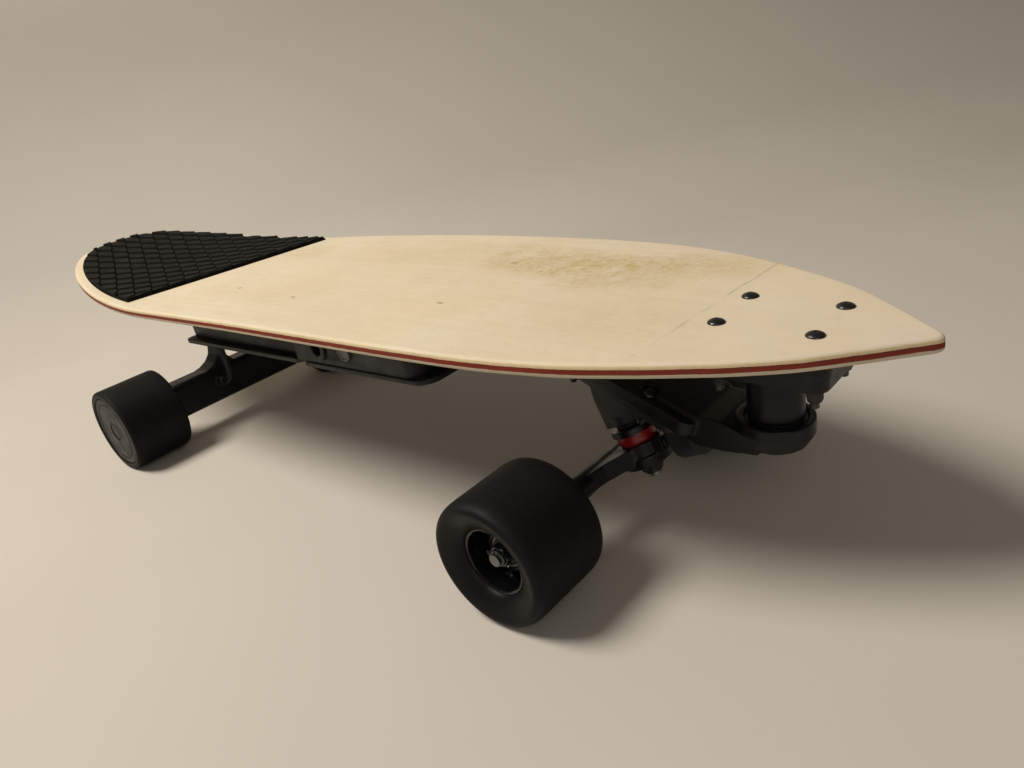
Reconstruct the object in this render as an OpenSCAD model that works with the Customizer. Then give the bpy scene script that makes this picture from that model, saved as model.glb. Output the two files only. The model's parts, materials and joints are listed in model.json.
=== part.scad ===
// Electric skateboard: pointed nose, kicked tail, swinging front truck adapter and two rear hub motors.
// Row frame: +X to the nose, +Z up, wheels stand on z = 0, origin under the middle of the deck.

/* [Deck] */
// Greatest half width of the deck
deck_half_w = 115.5; // [113:0.5:117]
// Thickness of the top plies
ply_top_t = 3; // [2.5:0.1:3.5]
// Thickness of the red-stained core plies
ply_red_t = 2.6; // [2:0.1:3]
// Thickness of the bottom plies
ply_bot_t = 3.4; // [3.4:0.1:3.4]
// Thickness of the tail pad
pad_t = 5; // [4.5:0.5:5]
// Bare wooden border left around the tail pad
pad_border = 10; // [7:1:12]

/* [Front wheels] */
// Tyre radius
front_r = 42.5; // [42.5:0.5:42.5]
// Tyre width
front_w = 64; // [62:1:64]
// Distance between the middles of the front wheels
front_track = 224.8; // [224.8:0.1:225]
// Number of spokes in each core
spokes = 7; // [5:1:8]

/* [Rear wheels] */
// Tyre radius over the hub motor
rear_r = 43; // [43:0.5:43]
// Tyre width over the hub motor
rear_w = 59; // [59:1:60]
// Distance between the middles of the rear wheels
rear_track = 245; // [245:0.5:246]

/* [Trucks] */
// Radius of the kingpins
kingpin_r = 4.76; // [4.5:0.01:4.76]
// Radius of the front axle
axle_r = 4; // [4:0.01:4]
// Radius of the bolts through the deck
bolt_r = 2.5; // [2.4:0.1:2.5]

/* [Enclosure] */
// Half width of the battery box
box_half_w = 90; // [90:1:92]
// Wall thickness of the enclosure
wall = 3; // [2.5:0.5:3]

/* [Hidden] */
$fn = 64;

// Deck side profile: a gentle arch with the tail kicked up, sampled every 40 mm, and every 15 mm in the kick.
NOSE_X = 467;
TAIL_X = -467;
FRONT_X = 383;
REAR_X = -255;
function top_f(x) = let(u = x - FRONT_X, s = max(0, -177 - x))
  153.25 - 0.058 * u - 0.000067 * u * u + 0.0005 * s * s;
XG = concat([for (i = [0:19]) -477 + 15 * i], [for (i = [0:16]) -177 + 40.5 * i]);
TOPT = [for (x = XG) [x, top_f(x)]];
function zt(x) = lookup(x, TOPT);
deck_t = ply_top_t + ply_red_t + ply_bot_t;

// Half outline from the tail round to the nose.
TAIL_C = -40;
TAIL_P = 2.8;
function tail_y(x, w, xe) = let(t = (TAIL_C - x) / (TAIL_C - xe)) w * pow(max(0, 1 - pow(t, TAIL_P)), 1 / TAIL_P);
NOSE_PTS = [[-80, 0], [-40, 0], [53, 0], [103, 0.5], [153, 1.6], [203, 3.8], [253, 8.2], [303, 18], [343, 32.5],
  [383, 50.5], [413, 68.5], [443, 93.5], [457, 106.5], [464, 112.5], [467, 115.5]];
function cr(a, b, c, d, t) = 0.5 * (2 * b + (c - a) * t + (2 * a - 5 * b + 4 * c - d) * t * t
  + (3 * b - a - 3 * c + d) * t * t * t);
function nose_side(ins) = [for (i = [1:len(NOSE_PTS) - 2], k = [0:2])
  let(a = NOSE_PTS[i - 1], b = NOSE_PTS[i], c = NOSE_PTS[i + 1],
    d = NOSE_PTS[min(i + 2, len(NOSE_PTS) - 1)], t = k / 3)
  [b[0] + (c[0] - b[0]) * t, max(0.4, deck_half_w - ins - cr(a[1], b[1], c[1], d[1], t))]];
function tail_side(ins) = let(xe = TAIL_X + ins) [for (i = [0:34]) let(a = 90 * i / 34,
  x = TAIL_C - (TAIL_C - xe) * pow(cos(a), 2 / TAIL_P)) if (x < TAIL_C - 1) [x, tail_y(x, deck_half_w - ins, xe)]];
function half_outline(ins) = concat(tail_side(ins), nose_side(ins), [[NOSE_X - ins, 0]]);
module outline2d(ins = 0) {
  h = half_outline(ins);
  n = len(h);
  polygon(concat(h, [for (i = [n - 2:-1:1]) [h[i][0], -h[i][1]]]));
}
module band(d1, d2, x1 = -470, x2 = 470, w = 300) {
  xs = [for (x = XG) if (x > x1 && x < x2) x];
  xa = concat([x1], xs, [x2]);
  n = len(xa);
  rotate([90, 0, 0]) linear_extrude(height = w, center = true)
    polygon(concat([for (x = xa) [x, zt(x) - d1]], [for (i = [n - 1:-1:0]) [xa[i], zt(xa[i]) - d2]]));
}

// Frames: F under the front bolts, R under the rear bolts, T the tilted front truck plate,
// K the front kingpin (origin at the hanger ring, +x along the steering axis), RK the rear kingpin.
module F() { translate([FRONT_X, 0, zt(FRONT_X)]) rotate([0, 3.32, 0]) children(); }
module R() { translate([REAR_X, 0, zt(REAR_X)]) rotate([0, 2.9, 0]) children(); }
module T() { translate([275, 0, 102.2]) rotate([0, 25, 0]) children(); }
module K() { translate([279.7, 0, 51.7]) rotate([0, -22, 0]) children(); }
module RK() { translate([-252, 0, 104]) rotate([0, 25, 0]) children(); }
module four(sx, sy) { for (i = [-1, 1], j = [-1, 1]) translate([i * sx / 2, j * sy / 2, 0]) children(); }
module quad() { four(53.98, 41.28) children(); }
module rrect(x1, x2, y1, y2, r) {
  translate([x1 + r, y1]) square([x2 - x1 - 2 * r, y2 - y1]);
  translate([x1, y1 + r]) square([x2 - x1, y2 - y1 - 2 * r]);
  for (x = [x1 + r, x2 - r], y = [y1 + r, y2 - r]) translate([x, y]) circle(r);
}
module slab(x1, x2, y1, y2, r, z1, z2) { translate([0, 0, z1]) linear_extrude(height = z2 - z1) rrect(x1, x2, y1, y2, r); }
module tube(ro, ri, z1, z2) { translate([0, 0, z1]) difference() { cylinder(r = ro, h = z2 - z1);
  translate([0, 0, -1]) cylinder(r = ri, h = z2 - z1 + 2); } }
module rod(r, z1, z2) { translate([0, 0, z1]) cylinder(r = r, h = z2 - z1); }
module hexa(af, z1, z2) { translate([0, 0, z1]) cylinder(r = af / sqrt(3), h = z2 - z1, $fn = 6); }
module xz(w) { rotate([90, 0, 0]) linear_extrude(height = w, center = true) children(); }
INS = [[-112, 50], [-112, -50], [6, 48], [6, -48], [158, 50], [158, -50]];
module deck_cuts() {
  F() quad() rod(bolt_r + 0.25, -20, 5);
  F() quad() rod(5.5, -0.35, 5);
  R() quad() rod(bolt_r + 0.25, -20, 5);
  R() quad() rod(5.5, -0.35, 5);
}
module insert_cuts(r) { for (p = INS) translate([p[0], p[1], zt(p[0]) - deck_t - 1]) cylinder(r = r, h = 7.5); }

// Deck
module ply(d1, d2) {
  difference() {
    intersection() { linear_extrude(height = 260) outline2d(); band(d1, d2); }
    deck_cuts();
    insert_cuts(4);
  }
}
module deck_top_plies() { color("wheat") ply(0, ply_top_t); }
module deck_red_plies() { color("firebrick") ply(ply_top_t, ply_top_t + ply_red_t); }
module deck_bottom_plies() { color("tan") ply(ply_top_t + ply_red_t, deck_t); }
module tail_pad() {
  color([0.1, 0.1, 0.1]) difference() {
    intersection() { linear_extrude(height = 260) outline2d(pad_border); band(-pad_t, 0, -460, -165);
      linear_extrude(height = 260) polygon([[-470, -130], [-230.6, -130], [-171.4, 130], [-470, 130]]); }
    R() quad() rod(6, -3, 2.7);
  }
}

// Bolts through the deck
module deck_bolt(l) {
  difference() { union() { rod(bolt_r, -l, 0); rod(5, -0.35, 1.2); rod(4, 1.2, 2.2); }
    translate([0, 0, 0.6]) cylinder(r = 1.9, h = 3, $fn = 6); }
}
module deck_bolts() { color([0.08, 0.08, 0.08]) { F() quad() deck_bolt(41); R() quad() deck_bolt(29.5); } }
module lock_nut(z) { difference() { union() { hexa(8, z - 4.4, z); rod(3.9, z - 6, z - 4.4); } rod(bolt_r, z - 7, z + 1); } }
module deck_lock_nuts() { color([0.25, 0.25, 0.26]) { F() quad() lock_nut(-31); R() quad() lock_nut(-20.35); } }

// Front adapter: fixed base
boss_r = 16;
// The pivot stands this far behind the middle of the bolts
piv = -3.2;
module P() { F() translate([piv, 0, 0]) children(); }
module adapter_base() {
  color([0.12, 0.12, 0.12]) difference() {
    union() {
      F() slab(-60, 35, -28, 28, 10, -22, -9.35);
      F() slab(-38, 34, -26.5, 26.5, 9, -31, -22);
      P() rod(boss_r, -61, -31);
    }
    F() quad() rod(bolt_r + 0.25, -40, 0);
    P() rod(6, -70, -14);
    P() rod(12, -62, -28);
  }
}
module adapter_pivot_bolt() {
  color([0.2, 0.2, 0.2]) P() { rod(6, -72.6, -14); hexa(16, -78.4, -72.6); }
}
module adapter_thrust_washers() { color("silver") P() { tube(15.5, 6.3, -64, -61); tube(10.5, 6.3, -72.6, -71.1); } }
module centring_sleeve() { color([0.75, 0.35, 0.1]) P() tube(12, 6.2, -60.8, -28); }

// Front adapter: swinging arm
cup_r = 22;
module swivel_arm() {
  color([0.14, 0.14, 0.14]) difference() {
    union() {
      P() { rod(cup_r, -71, -61.5); translate([0, 0, -79]) cylinder(r1 = 17.5, r2 = cup_r, h = 8.01); }
      T() slab(-44, 62, -30, 30, 9, 6, 16);
      xz(2 * 22) polygon([[300, 90.5], [336, 74], [352, 73.6], [374, 75.2], [374, 84], [352, 93], [338, 94], [300, 111]]);
    }
    P() { rod(18.2, -64.1, -40); rod(9, -80, -60); rod(11.5, -80, -71); }
    T() quad() rod(bolt_r + 0.25, -10, 40);
    T() quad() rod(5.2, 15, 30);
    T() translate([-60, -31, -20]) cube([112.4, 62, 26]);
  }
}
module arm_bush() { color("goldenrod") P() tube(9, 6.05, -71, -64.1); }
module front_truck_bolts() {
  color([0.08, 0.08, 0.08]) T() quad() { rod(bolt_r, -9, 15); rod(4.6, 15, 17.6);
    tube(4.6, bolt_r, -5.2, 0); }
}

// Front truck
module front_baseplate() {
  color([0.3, 0.3, 0.31]) difference() {
    union() {
      T() slab(-42, 52, -27.5, 27.5, 8, 0, 6);
      intersection() {
        union() {
          xz(25) polygon([[253, 118], [253, 94], [254, 88], [261.5, 66.9], [284, 76], [291, 98]]);
          K() rod(13.5, 21, 27);
          K() rod(10.5, 17.5, 22);
          K() { translate([33, 0, 0]) rotate([0, 90, 0]) cylinder(r = 13.5, h = 17);
            translate([33, -13.5, 0]) cube([17, 27, 30]); }
        }
        T() translate([-100, -40, -100]) cube([200, 80, 103]);
      }
    }
    T() quad() rod(bolt_r + 0.25, -10, 20);
    T() quad() rod(5.5, -20, 0);
    K() rod(kingpin_r, 10, 40);
    K() translate([32, 0, 0]) rotate([0, 90, 0]) cylinder(r = 10, h = 15.2);
  }
}
module front_kingpin() { color("silver") K() rod(kingpin_r, -21, 40); }
module front_boardside_bushing() { color([0.75, 0.06, 0.08]) K() tube(14, kingpin_r, 5.1, 16); }
module front_roadside_bushing() {
  color([0.75, 0.06, 0.08]) K() rotate_extrude() polygon([[kingpin_r, -10.4], [10, -10.4], [12.5, -5.1], [kingpin_r, -5.1]]);
}
module front_cup_washers() { color("silver") K() { tube(15.6, kingpin_r, 16, 17.5); tube(15.6, 14.1, 12.8, 16); tube(11, kingpin_r, -11.6, -10.4); } }
module front_kingpin_nut() { color([0.3, 0.3, 0.3]) K() difference() { union() { hexa(14.3, -16.8, -11.6); rod(6.6, -18.8, -16.8); } rod(kingpin_r, -30, 0); } }
module front_pivot_cup() {
  color([0.9, 0.9, 0.85]) K() translate([34, 0, 0]) rotate([0, 90, 0]) difference() {
    cylinder(r = 10, h = 13); translate([0, 0, -1]) cylinder(r = 6.05, h = 12.6); }
}

AX = [261, 0, 42.5];
module along_y(p) { translate(p) rotate([-90, 0, 0]) children(); }
hanger_end = front_track / 2 - 13;
module front_hanger() {
  color([0.1, 0.1, 0.1]) difference() {
    union() {
      along_y(AX) rotate_extrude() polygon([[0, -hanger_end], [7, -hanger_end], [7, -86], [8.4, -78], [8.7, -50], [7.6, -24],
        [7.6, 24], [8.7, 50], [8.4, 78], [7, 86], [7, hanger_end], [0, hanger_end]]);
      K() rod(15.5, -5, 5);
      K() rod(17.4, -11, -4);
      K() translate([0, 0, -7]) linear_extrude(height = 11.4)
        polygon([[9, -11.5], [3, -16.5], [-9, -34], [-16, -52], [-20, -74], [-23, -74], [-27.5, -52], [-29, -34], [-29.4, 0],
          [-29, 34], [-27.5, 52], [-23, 74], [-20, 74], [-16, 52], [-9, 34], [3, 16.5], [9, 11.5]]);
      K() translate([10, 0, 0]) rotate([0, 90, 0]) cylinder(r = 4.6, h = 22);
      K() translate([10, -7, -5]) cube([12, 14, 10]);
      K() translate([30, 0, 0]) rotate([0, 90, 0]) cylinder(r = 6, h = 14.5);
    }
    K() rod(7.5, -12, 12);
    K() rod(14.3, -12, -5);
    along_y(AX) rod(axle_r, -130, 130);
  }
}
fa_end = front_track / 2 + 12 + 1 + 9.5;
module front_axle() { color("silver") along_y(AX) rod(axle_r, -fa_end, fa_end); }
module both_front() { for (s = [-1, 1]) translate([AX[0], s * front_track / 2, AX[2]]) rotate([-90 * s, 0, 0]) children(); }
module front_axle_nuts() { color([0.5, 0.5, 0.5]) both_front() difference() { union() { hexa(12.7, 13.2, 18.4); rod(5.6, 18.4, 20.4); } rod(axle_r, 0, 30); } }
module front_speed_washers() { color("silver") both_front() { tube(6.5, axle_r + 0.05, -13, -12.1); tube(6.5, axle_r + 0.05, 12.1, 13.2); } }
module front_bearing_spacers() { color("silver") both_front() tube(5.5, axle_r + 0.05, -4.9, 4.9); }

// Front wheels, drawn about +Z with +Z outwards
module wheel_at(s) { translate([AX[0], s * front_track / 2, AX[2]]) rotate([-90 * s, 0, 0]) children(); }
module tyre() {
  h = front_w / 2;
  rotate_extrude($fn = 96) polygon([[22.6, -h + 8.5], [23.6, -h + 7], [27, -h + 4.2], [31, -h + 2], [34.5, -h + 0.5],
    [37, -h], [39.4, -h + 1], [41.4, -h + 3.4], [42.3, -h + 7], [front_r, -h + 11], [front_r, h - 11], [42.3, h - 7],
    [41.4, h - 3.4], [39.4, h - 1], [37, h], [34.5, h - 0.5], [31, h - 2], [27, h - 4.2], [23.6, h - 7], [22.6, h - 8.5]]);
}
module core() {
  difference() {
    union() {
      tube(22.6, 20.4, -23.5, 23.5);
      rod(13.8, -12.5, 12.5);
      for (i = [0:spokes - 1]) rotate([0, 0, i * 360 / spokes]) translate([12, -2.2, -10]) cube([9.5, 4.4, 20]);
    }
    rod(9, -20, 20);
    rod(11, -20, -5);
    rod(11, 5, 20);
  }
}
module wheel_bearings() { tube(11, axle_r + 0.05, 5, 12); tube(11, axle_r + 0.05, -12, -5); }
module front_left_tyre() { color([0.07, 0.07, 0.07]) wheel_at(1) tyre(); }
module front_left_core() { color([0.05, 0.05, 0.05]) wheel_at(1) core(); }
module front_left_bearings() { color("silver") wheel_at(1) wheel_bearings(); }
module front_right_tyre() { color([0.07, 0.07, 0.07]) wheel_at(-1) tyre(); }
module front_right_core() { color([0.05, 0.05, 0.05]) wheel_at(-1) core(); }
module front_right_bearings() { color("silver") wheel_at(-1) wheel_bearings(); }

// Rear truck
module rear_riser_pad() { color([0.1, 0.1, 0.1]) R() difference() { slab(-46, 44, -28, 28, 8, -12.35, -9.35); quad() rod(bolt_r + 0.25, -20, 0); } }
module rear_baseplate() {
  color([0.13, 0.13, 0.13]) difference() {
    union() {
      R() slab(-52, 44, -28, 28, 8, -20.35, -12.35);
      intersection() {
        union() {
          xz(26) polygon([[-262, 150], [-256.5, 129], [-229.8, 116.6], [-216, 150]]);
          RK() rod(14.5, 20.5, 27);
          RK() { translate([-50, 0, 0]) rotate([0, 90, 0]) cylinder(r = 13.5, h = 17);
            translate([-50, -13.5, 0]) cube([17, 27, 40]); }
        }
        R() translate([-100, -40, -100]) cube([200, 80, 84]);
      }
    }
    R() quad() rod(bolt_r + 0.25, -40, 0);
    R() quad() rod(5.6, -40, -20.35);
    RK() rod(kingpin_r, 10, 40);
    RK() translate([-47.2, 0, 0]) rotate([0, 90, 0]) cylinder(r = 10, h = 16);
  }
}
module rear_kingpin() { color("silver") RK() rod(kingpin_r, -24, 40); }
module rear_bushings() {
  color([0.12, 0.12, 0.12]) RK() { tube(14, kingpin_r, 5.1, 19);
    rotate_extrude() polygon([[kingpin_r, -13], [10, -13], [12.5, -5.1], [kingpin_r, -5.1]]); }
}
module rear_cup_washers() { color("silver") RK() { tube(14.6, kingpin_r, 19, 20.5); tube(11, kingpin_r, -14.3, -13); } }
module rear_kingpin_nut() { color([0.3, 0.3, 0.3]) RK() difference() { union() { hexa(14.3, -19.5, -14.3); rod(6.6, -21.5, -19.5); } rod(kingpin_r, -30, 0); } }
module rear_pivot_cup() {
  color([0.9, 0.9, 0.85]) RK() translate([-34, 0, 0]) rotate([0, -90, 0]) difference() {
    cylinder(r = 10, h = 13.2); translate([0, 0, -1]) cylinder(r = 6.05, h = 12.6); }
}
RAX = [-255, 0, 43];
module rear_hanger() {
  color([0.08, 0.08, 0.08]) difference() {
    union() {
      along_y([RAX[0], 0, 0]) linear_extrude(height = 172, center = true)
        translate([0, -45.5]) rrect(-14, 14, -18.5, 18.5, 6);
      for (s = [-1, 1]) translate([0, s * 21.75, 0]) xz(5.5)
        polygon([[-268.5, 58], [-241.5, 58], [-240, 84], [-238, 96], [-245, 108], [-262, 108], [-268, 96]]);
      for (s = [-1, 1]) translate([RAX[0], 0, 0]) rotate([90, 0, 90]) linear_extrude(height = 24, center = true)
        polygon([[s * 19.5, 58], [s * 50, 58], [s * 50, 63.5], [s * 42, 65], [s * 34, 69], [s * 28, 75.5], [s * 25, 85], [s * 24.4, 92], [s * 19.5, 92]]);
      for (s = [-1, 1]) translate([RAX[0], 0, 0]) rotate([90, 0, 90]) linear_extrude(height = 20, center = true)
        polygon([[s * 20, 60], [s * 8, 60], [s * 20, 76]]);
      RK() rod(15.5, -5, 5);
      RK() for (s = [-1, 1]) translate([-7, s * 17.25 - 6.25, -5]) cube([15, 12.5, 10]);
      RK() translate([-32, 0, 0]) rotate([0, 90, 0]) cylinder(r = 4.6, h = 22);
      RK() translate([-22, -7, -5]) cube([12, 14, 10]);
      RK() translate([-44.5, 0, 0]) rotate([0, 90, 0]) cylinder(r = 6, h = 14.5);
      for (s = [-1, 1]) translate([-242, s * 34, 50]) rotate([0, 90, 0]) cylinder(r = 6, h = 6.5);
    }
    RK() rod(7.5, -12, 12);
    for (s = [-1, 1]) translate([-239.5, s * 34, 50]) rotate([0, 90, 0]) cylinder(r = 3.6, h = 8);
    along_y(RAX) { rod(6, 58, 100); rod(6, -100, -58); }
  }
}
module both_rear() { for (s = [-1, 1]) translate([RAX[0], s * rear_track / 2, RAX[2]]) rotate([-90 * s, 0, 0]) children(); }
module rear_at(s) { translate([RAX[0], s * rear_track / 2, RAX[2]]) rotate([-90 * s, 0, 0]) children(); }
module motor_axles() { color("silver") both_rear() { rod(6, -64.5, 23); rod(9, -36.4, -28); } }
module motor_stators() {
  color([0.6, 0.35, 0.15]) both_rear() difference() {
    union() { rod(19, -16, 14);
      for (i = [0:11]) rotate([0, 0, i * 30]) { translate([17, -2.5, -14]) cube([11, 5, 26]); }
      tube(31, 27.5, -13, 11); }
    rod(6, -40, 40);
    for (i = [0:11]) rotate([0, 0, i * 30 + 15]) translate([24, -1, -20]) cube([10, 2, 40]);
  }
}
// Urethane sleeve, rotor can and side cover of a hub motor
module sleeve() {
  h = rear_w / 2;
  rotate_extrude($fn = 96) polygon([[36, -h + 2], [38.5, -h], [41.5, -h], [42.6, -h + 1.2], [rear_r, -h + 3], [rear_r, h - 3],
    [42.6, h - 1.2], [41.5, h], [37.6, h], [36, h - 2]]);
}
module can() {
  difference() {
    union() { tube(36, 33, -27.5, 27); rod(33.5, -27.5, -21); }
    rod(6.05, -30, 0);
    rod(10, -30, -25);
  }
}
module cover() {
  difference() {
    union() { rod(33, 19.5, 27.4); tube(35.9, 10, 27.4, 28.6); }
    rod(6.05, 10, 24);
    tube(30.5, 29.5, 28, 30);
  }
}
module rear_left_sleeve() { color([0.07, 0.07, 0.07]) rear_at(1) sleeve(); }
module rear_left_can() { color([0.3, 0.3, 0.3]) rear_at(1) can(); }
module rear_left_cover() { color([0.35, 0.35, 0.34]) rear_at(1) cover(); }
module rear_right_sleeve() { color([0.07, 0.07, 0.07]) rear_at(-1) sleeve(); }
module rear_right_can() { color([0.3, 0.3, 0.3]) rear_at(-1) can(); }
module rear_right_cover() { color([0.35, 0.35, 0.34]) rear_at(-1) cover(); }

// Electronics enclosure
BX1 = -160;
BX2 = 174;
MID = 35;
FLOOR = 127.5;
module side(x1, x2, zb, d) {
  xm = [for (x = XG) if (x > x1 && x < x2) x];
  xa = concat([x1], xm, [x2]);
  polygon(concat([for (x = xa) [x, zt(x) - d]], [[x2, zb], [x1, zb]]));
}
module box_out() {
  intersection() { xz(2 * box_half_w) side(MID - 0.5, BX2, FLOOR, deck_t + 1.5);
    translate([0, 0, 100]) linear_extrude(height = 80) rrect(MID - 20, BX2, -box_half_w, box_half_w, 12); }
  intersection() { xz(2 * 82) side(BX1, MID, FLOOR, deck_t + 1.5);
    translate([0, 0, 100]) linear_extrude(height = 80) rrect(BX1, MID + 20, -82, 82, 14); }
}
module box_in(e) {
  intersection() { xz(2 * (box_half_w - wall)) side(MID - 10, BX2 - wall, FLOOR + wall, deck_t + 1.5 - e);
    translate([0, 0, 100]) linear_extrude(height = 80) rrect(MID - 9, BX2 - wall, -box_half_w + wall, box_half_w - wall, 9); }
  intersection() { xz(2 * (82 - wall)) side(BX1 + wall, MID, FLOOR + wall, deck_t + 1.5 - e);
    translate([0, 0, 100]) linear_extrude(height = 80) rrect(BX1 + wall, MID + 20, -82 + wall, 82 - wall, 11); }
}
PORT = [66, -box_half_w, 140.5];
BTN = [100, -box_half_w, 140.5];
module out_y(p) { translate(p) rotate([90, 0, 0]) children(); }
module enclosure_shell() {
  color([0.16, 0.16, 0.17]) difference() {
    union() {
      difference() { box_out(); box_in(5); }
      for (p = INS) intersection() { translate([p[0], p[1], 120]) cylinder(r = 6, h = 60); box_out(); }
    }
    for (p = INS) translate([p[0], p[1], 100]) { cylinder(r = 2.25, h = 80); }
    out_y(PORT) rod(8, -10, 10);
    out_y(BTN) rod(7.3, -10, 10);
    for (s = [-1, 1]) translate([BX1, s * 50, 142]) rotate([0, 90, 0]) rod(3.5, -10, 10);
  }
}
module enclosure_gasket() {
  color([0.05, 0.05, 0.05]) difference() {
    union() {
      intersection() { band(deck_t, deck_t + 1.5, MID - 0.5, BX2); translate([0, 0, 100]) linear_extrude(height = 80) rrect(MID - 20, BX2, -box_half_w, box_half_w, 12); }
      intersection() { band(deck_t, deck_t + 1.5, BX1, MID); translate([0, 0, 100]) linear_extrude(height = 80) rrect(BX1, MID + 20, -82, 82, 14); }
    }
    translate([0, 0, 90]) linear_extrude(height = 90) { rrect(MID - 9, BX2 - wall - 1, -box_half_w + wall + 1, box_half_w - wall - 1, 9);
      rrect(BX1 + wall + 1, MID + 20, -82 + wall + 1, 82 - wall - 1, 11); }
  }
}
module heatsink_plate() {
  color([0.6, 0.6, 0.6]) difference() {
    union() { slab(BX1 + 2, MID - 0.5, -89, 89, 6, 124, FLOOR); for (i = [0:9]) translate([BX1 + 24 + i * 7, -60, 121.5]) cube([3, 120, 2.5]); }
    for (p = INS) translate([p[0], p[1], 100]) cylinder(r = 4.5, h = 60);
  }
}
module enclosure_lid() {
  color([0.2, 0.2, 0.21]) difference() {
    slab(MID, BX2 + 10, -box_half_w - 1, box_half_w + 1, 14, 124, FLOOR);
    for (p = INS) translate([p[0], p[1], 100]) cylinder(r = 4.5, h = 60);
  }
}
module enclosure_screws() {
  color([0.1, 0.1, 0.1]) for (p = INS) translate([p[0], p[1], 0]) difference() {
    union() { rod(2, FLOOR, zt(p[0]) - deck_t + 4.5); rod(4, FLOOR - 3, FLOOR); }
    translate([0, 0, FLOOR - 4]) cylinder(r = 1.5, h = 3, $fn = 6); }
}
module threaded_inserts() { color("goldenrod") for (p = INS) translate([p[0], p[1], zt(p[0]) - deck_t]) tube(4, 2, 0.6, 6.4); }
module battery_cells() {
  color([0.2, 0.5, 0.35]) for (x = [-36, 31, 89], y = [-64.5, -30, -10, 10, 30, 64.5])
    if (x != 89) translate([x, y, 140.2]) rotate([0, 90, 0]) rod(9.2, 0, 65);
    else if (abs(y) < 40) translate([98, y, 140.2]) rotate([0, 90, 0]) rod(9.2, 0, 65);
}
module battery_bms() { color([0.1, 0.35, 0.15]) { translate([60, 78, 131]) cube([90, 1.6, 18]); for (i = [0:4]) translate([66 + i * 16, 79.6, 134]) cube([8, 2, 10]); } }
module motor_controller() {
  color([0.1, 0.25, 0.4]) { translate([-146, -34, 131.5]) cube([100, 68, 1.6]);
    for (i = [0:5]) translate([-140 + i * 15, -28, 133.1]) cube([10, 12, 4.5]);
    for (i = [0:2]) translate([-136 + i * 20, 20, 133.1]) cylinder(r = 6, h = 12);
    translate([-75, -8, 133.1]) cube([20, 20, 3]); }
}
module charge_port() {
  color([0.1, 0.1, 0.1]) out_y(PORT) difference() {
    union() { rod(8, -13, 0); rod(10.5, 0, 1.6); }
    rod(5.6, -10, 5);
  }
}
module power_button() { color([0.2, 0.2, 0.2]) out_y(BTN) union() { rod(7, -4, 1.6); rod(8.6, -6, -4); } }

// Motor cables between the enclosure and the hanger, one each side
CAB = [[-157.5, 50, 142], [-168, 50, 142], [-180, 49.4, 141], [-191, 48, 137.5], [-200, 46, 131], [-206.5, 43.5, 121.5], [-210, 41, 110],
  [-211.5, 38.8, 98], [-212, 37, 86], [-213, 35.6, 74.5], [-216, 34.6, 64], [-221.5, 34.1, 55.5], [-228.5, 34, 51], [-234.9, 34, 50]];
function unit(v) = v / norm(v);
function dir(i) = unit(CAB[min(i + 1, len(CAB) - 1)] - CAB[max(i - 1, 0)]);
function ring(i, r) = let(d = i == 0 ? [-1, 0, 0] : i == len(CAB) - 1 ? [-1, 0, 0] : dir(i), a = unit(cross(d, [0, 1, 0])), b = cross(d, a))
  [for (k = [0:9]) CAB[i] + r * (cos(36 * k) * a + sin(36 * k) * b)];
module cable(r) {
  n = len(CAB);
  pts = [for (i = [0:n - 1]) each ring(i, r)];
  polyhedron(points = pts, faces = concat([[for (k = [0:9]) k]], [[for (k = [9:-1:0]) (n - 1) * 10 + k]],
    [for (i = [0:n - 2], k = [0:9]) [i * 10 + k, (i + 1) * 10 + k, (i + 1) * 10 + (k + 1) % 10]],
    [for (i = [0:n - 2], k = [0:9]) [i * 10 + k, (i + 1) * 10 + (k + 1) % 10, i * 10 + (k + 1) % 10]]), convexity = 4);
}
module motor_cables() { color([0.05, 0.05, 0.05]) { cable(3.4); mirror([0, 1, 0]) cable(3.4); } }

deck_top_plies();
deck_red_plies();
deck_bottom_plies();
tail_pad();
deck_bolts();
deck_lock_nuts();
adapter_base();
adapter_pivot_bolt();
adapter_thrust_washers();
centring_sleeve();
rear_riser_pad();
rear_baseplate();
rear_kingpin();
rear_bushings();
rear_cup_washers();
rear_kingpin_nut();
rear_pivot_cup();
enclosure_shell();
enclosure_gasket();
enclosure_screws();
threaded_inserts();
battery_cells();
battery_bms();
motor_controller();
heatsink_plate();
enclosure_lid();
charge_port();
motor_cables();
power_button();
swivel_arm();
arm_bush();
front_baseplate();
front_truck_bolts();
front_kingpin();
front_boardside_bushing();
front_roadside_bushing();
front_cup_washers();
front_kingpin_nut();
front_pivot_cup();
front_hanger();
front_axle();
front_axle_nuts();
front_speed_washers();
front_bearing_spacers();
front_left_tyre();
front_left_core();
front_left_bearings();
front_right_tyre();
front_right_core();
front_right_bearings();
rear_hanger();
motor_axles();
motor_stators();
rear_left_sleeve();
rear_left_can();
rear_left_cover();
rear_right_sleeve();
rear_right_can();
rear_right_cover();
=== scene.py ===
import bpy
import bmesh
import json
import math
import numpy as np
from mathutils import Matrix, Vector


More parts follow.
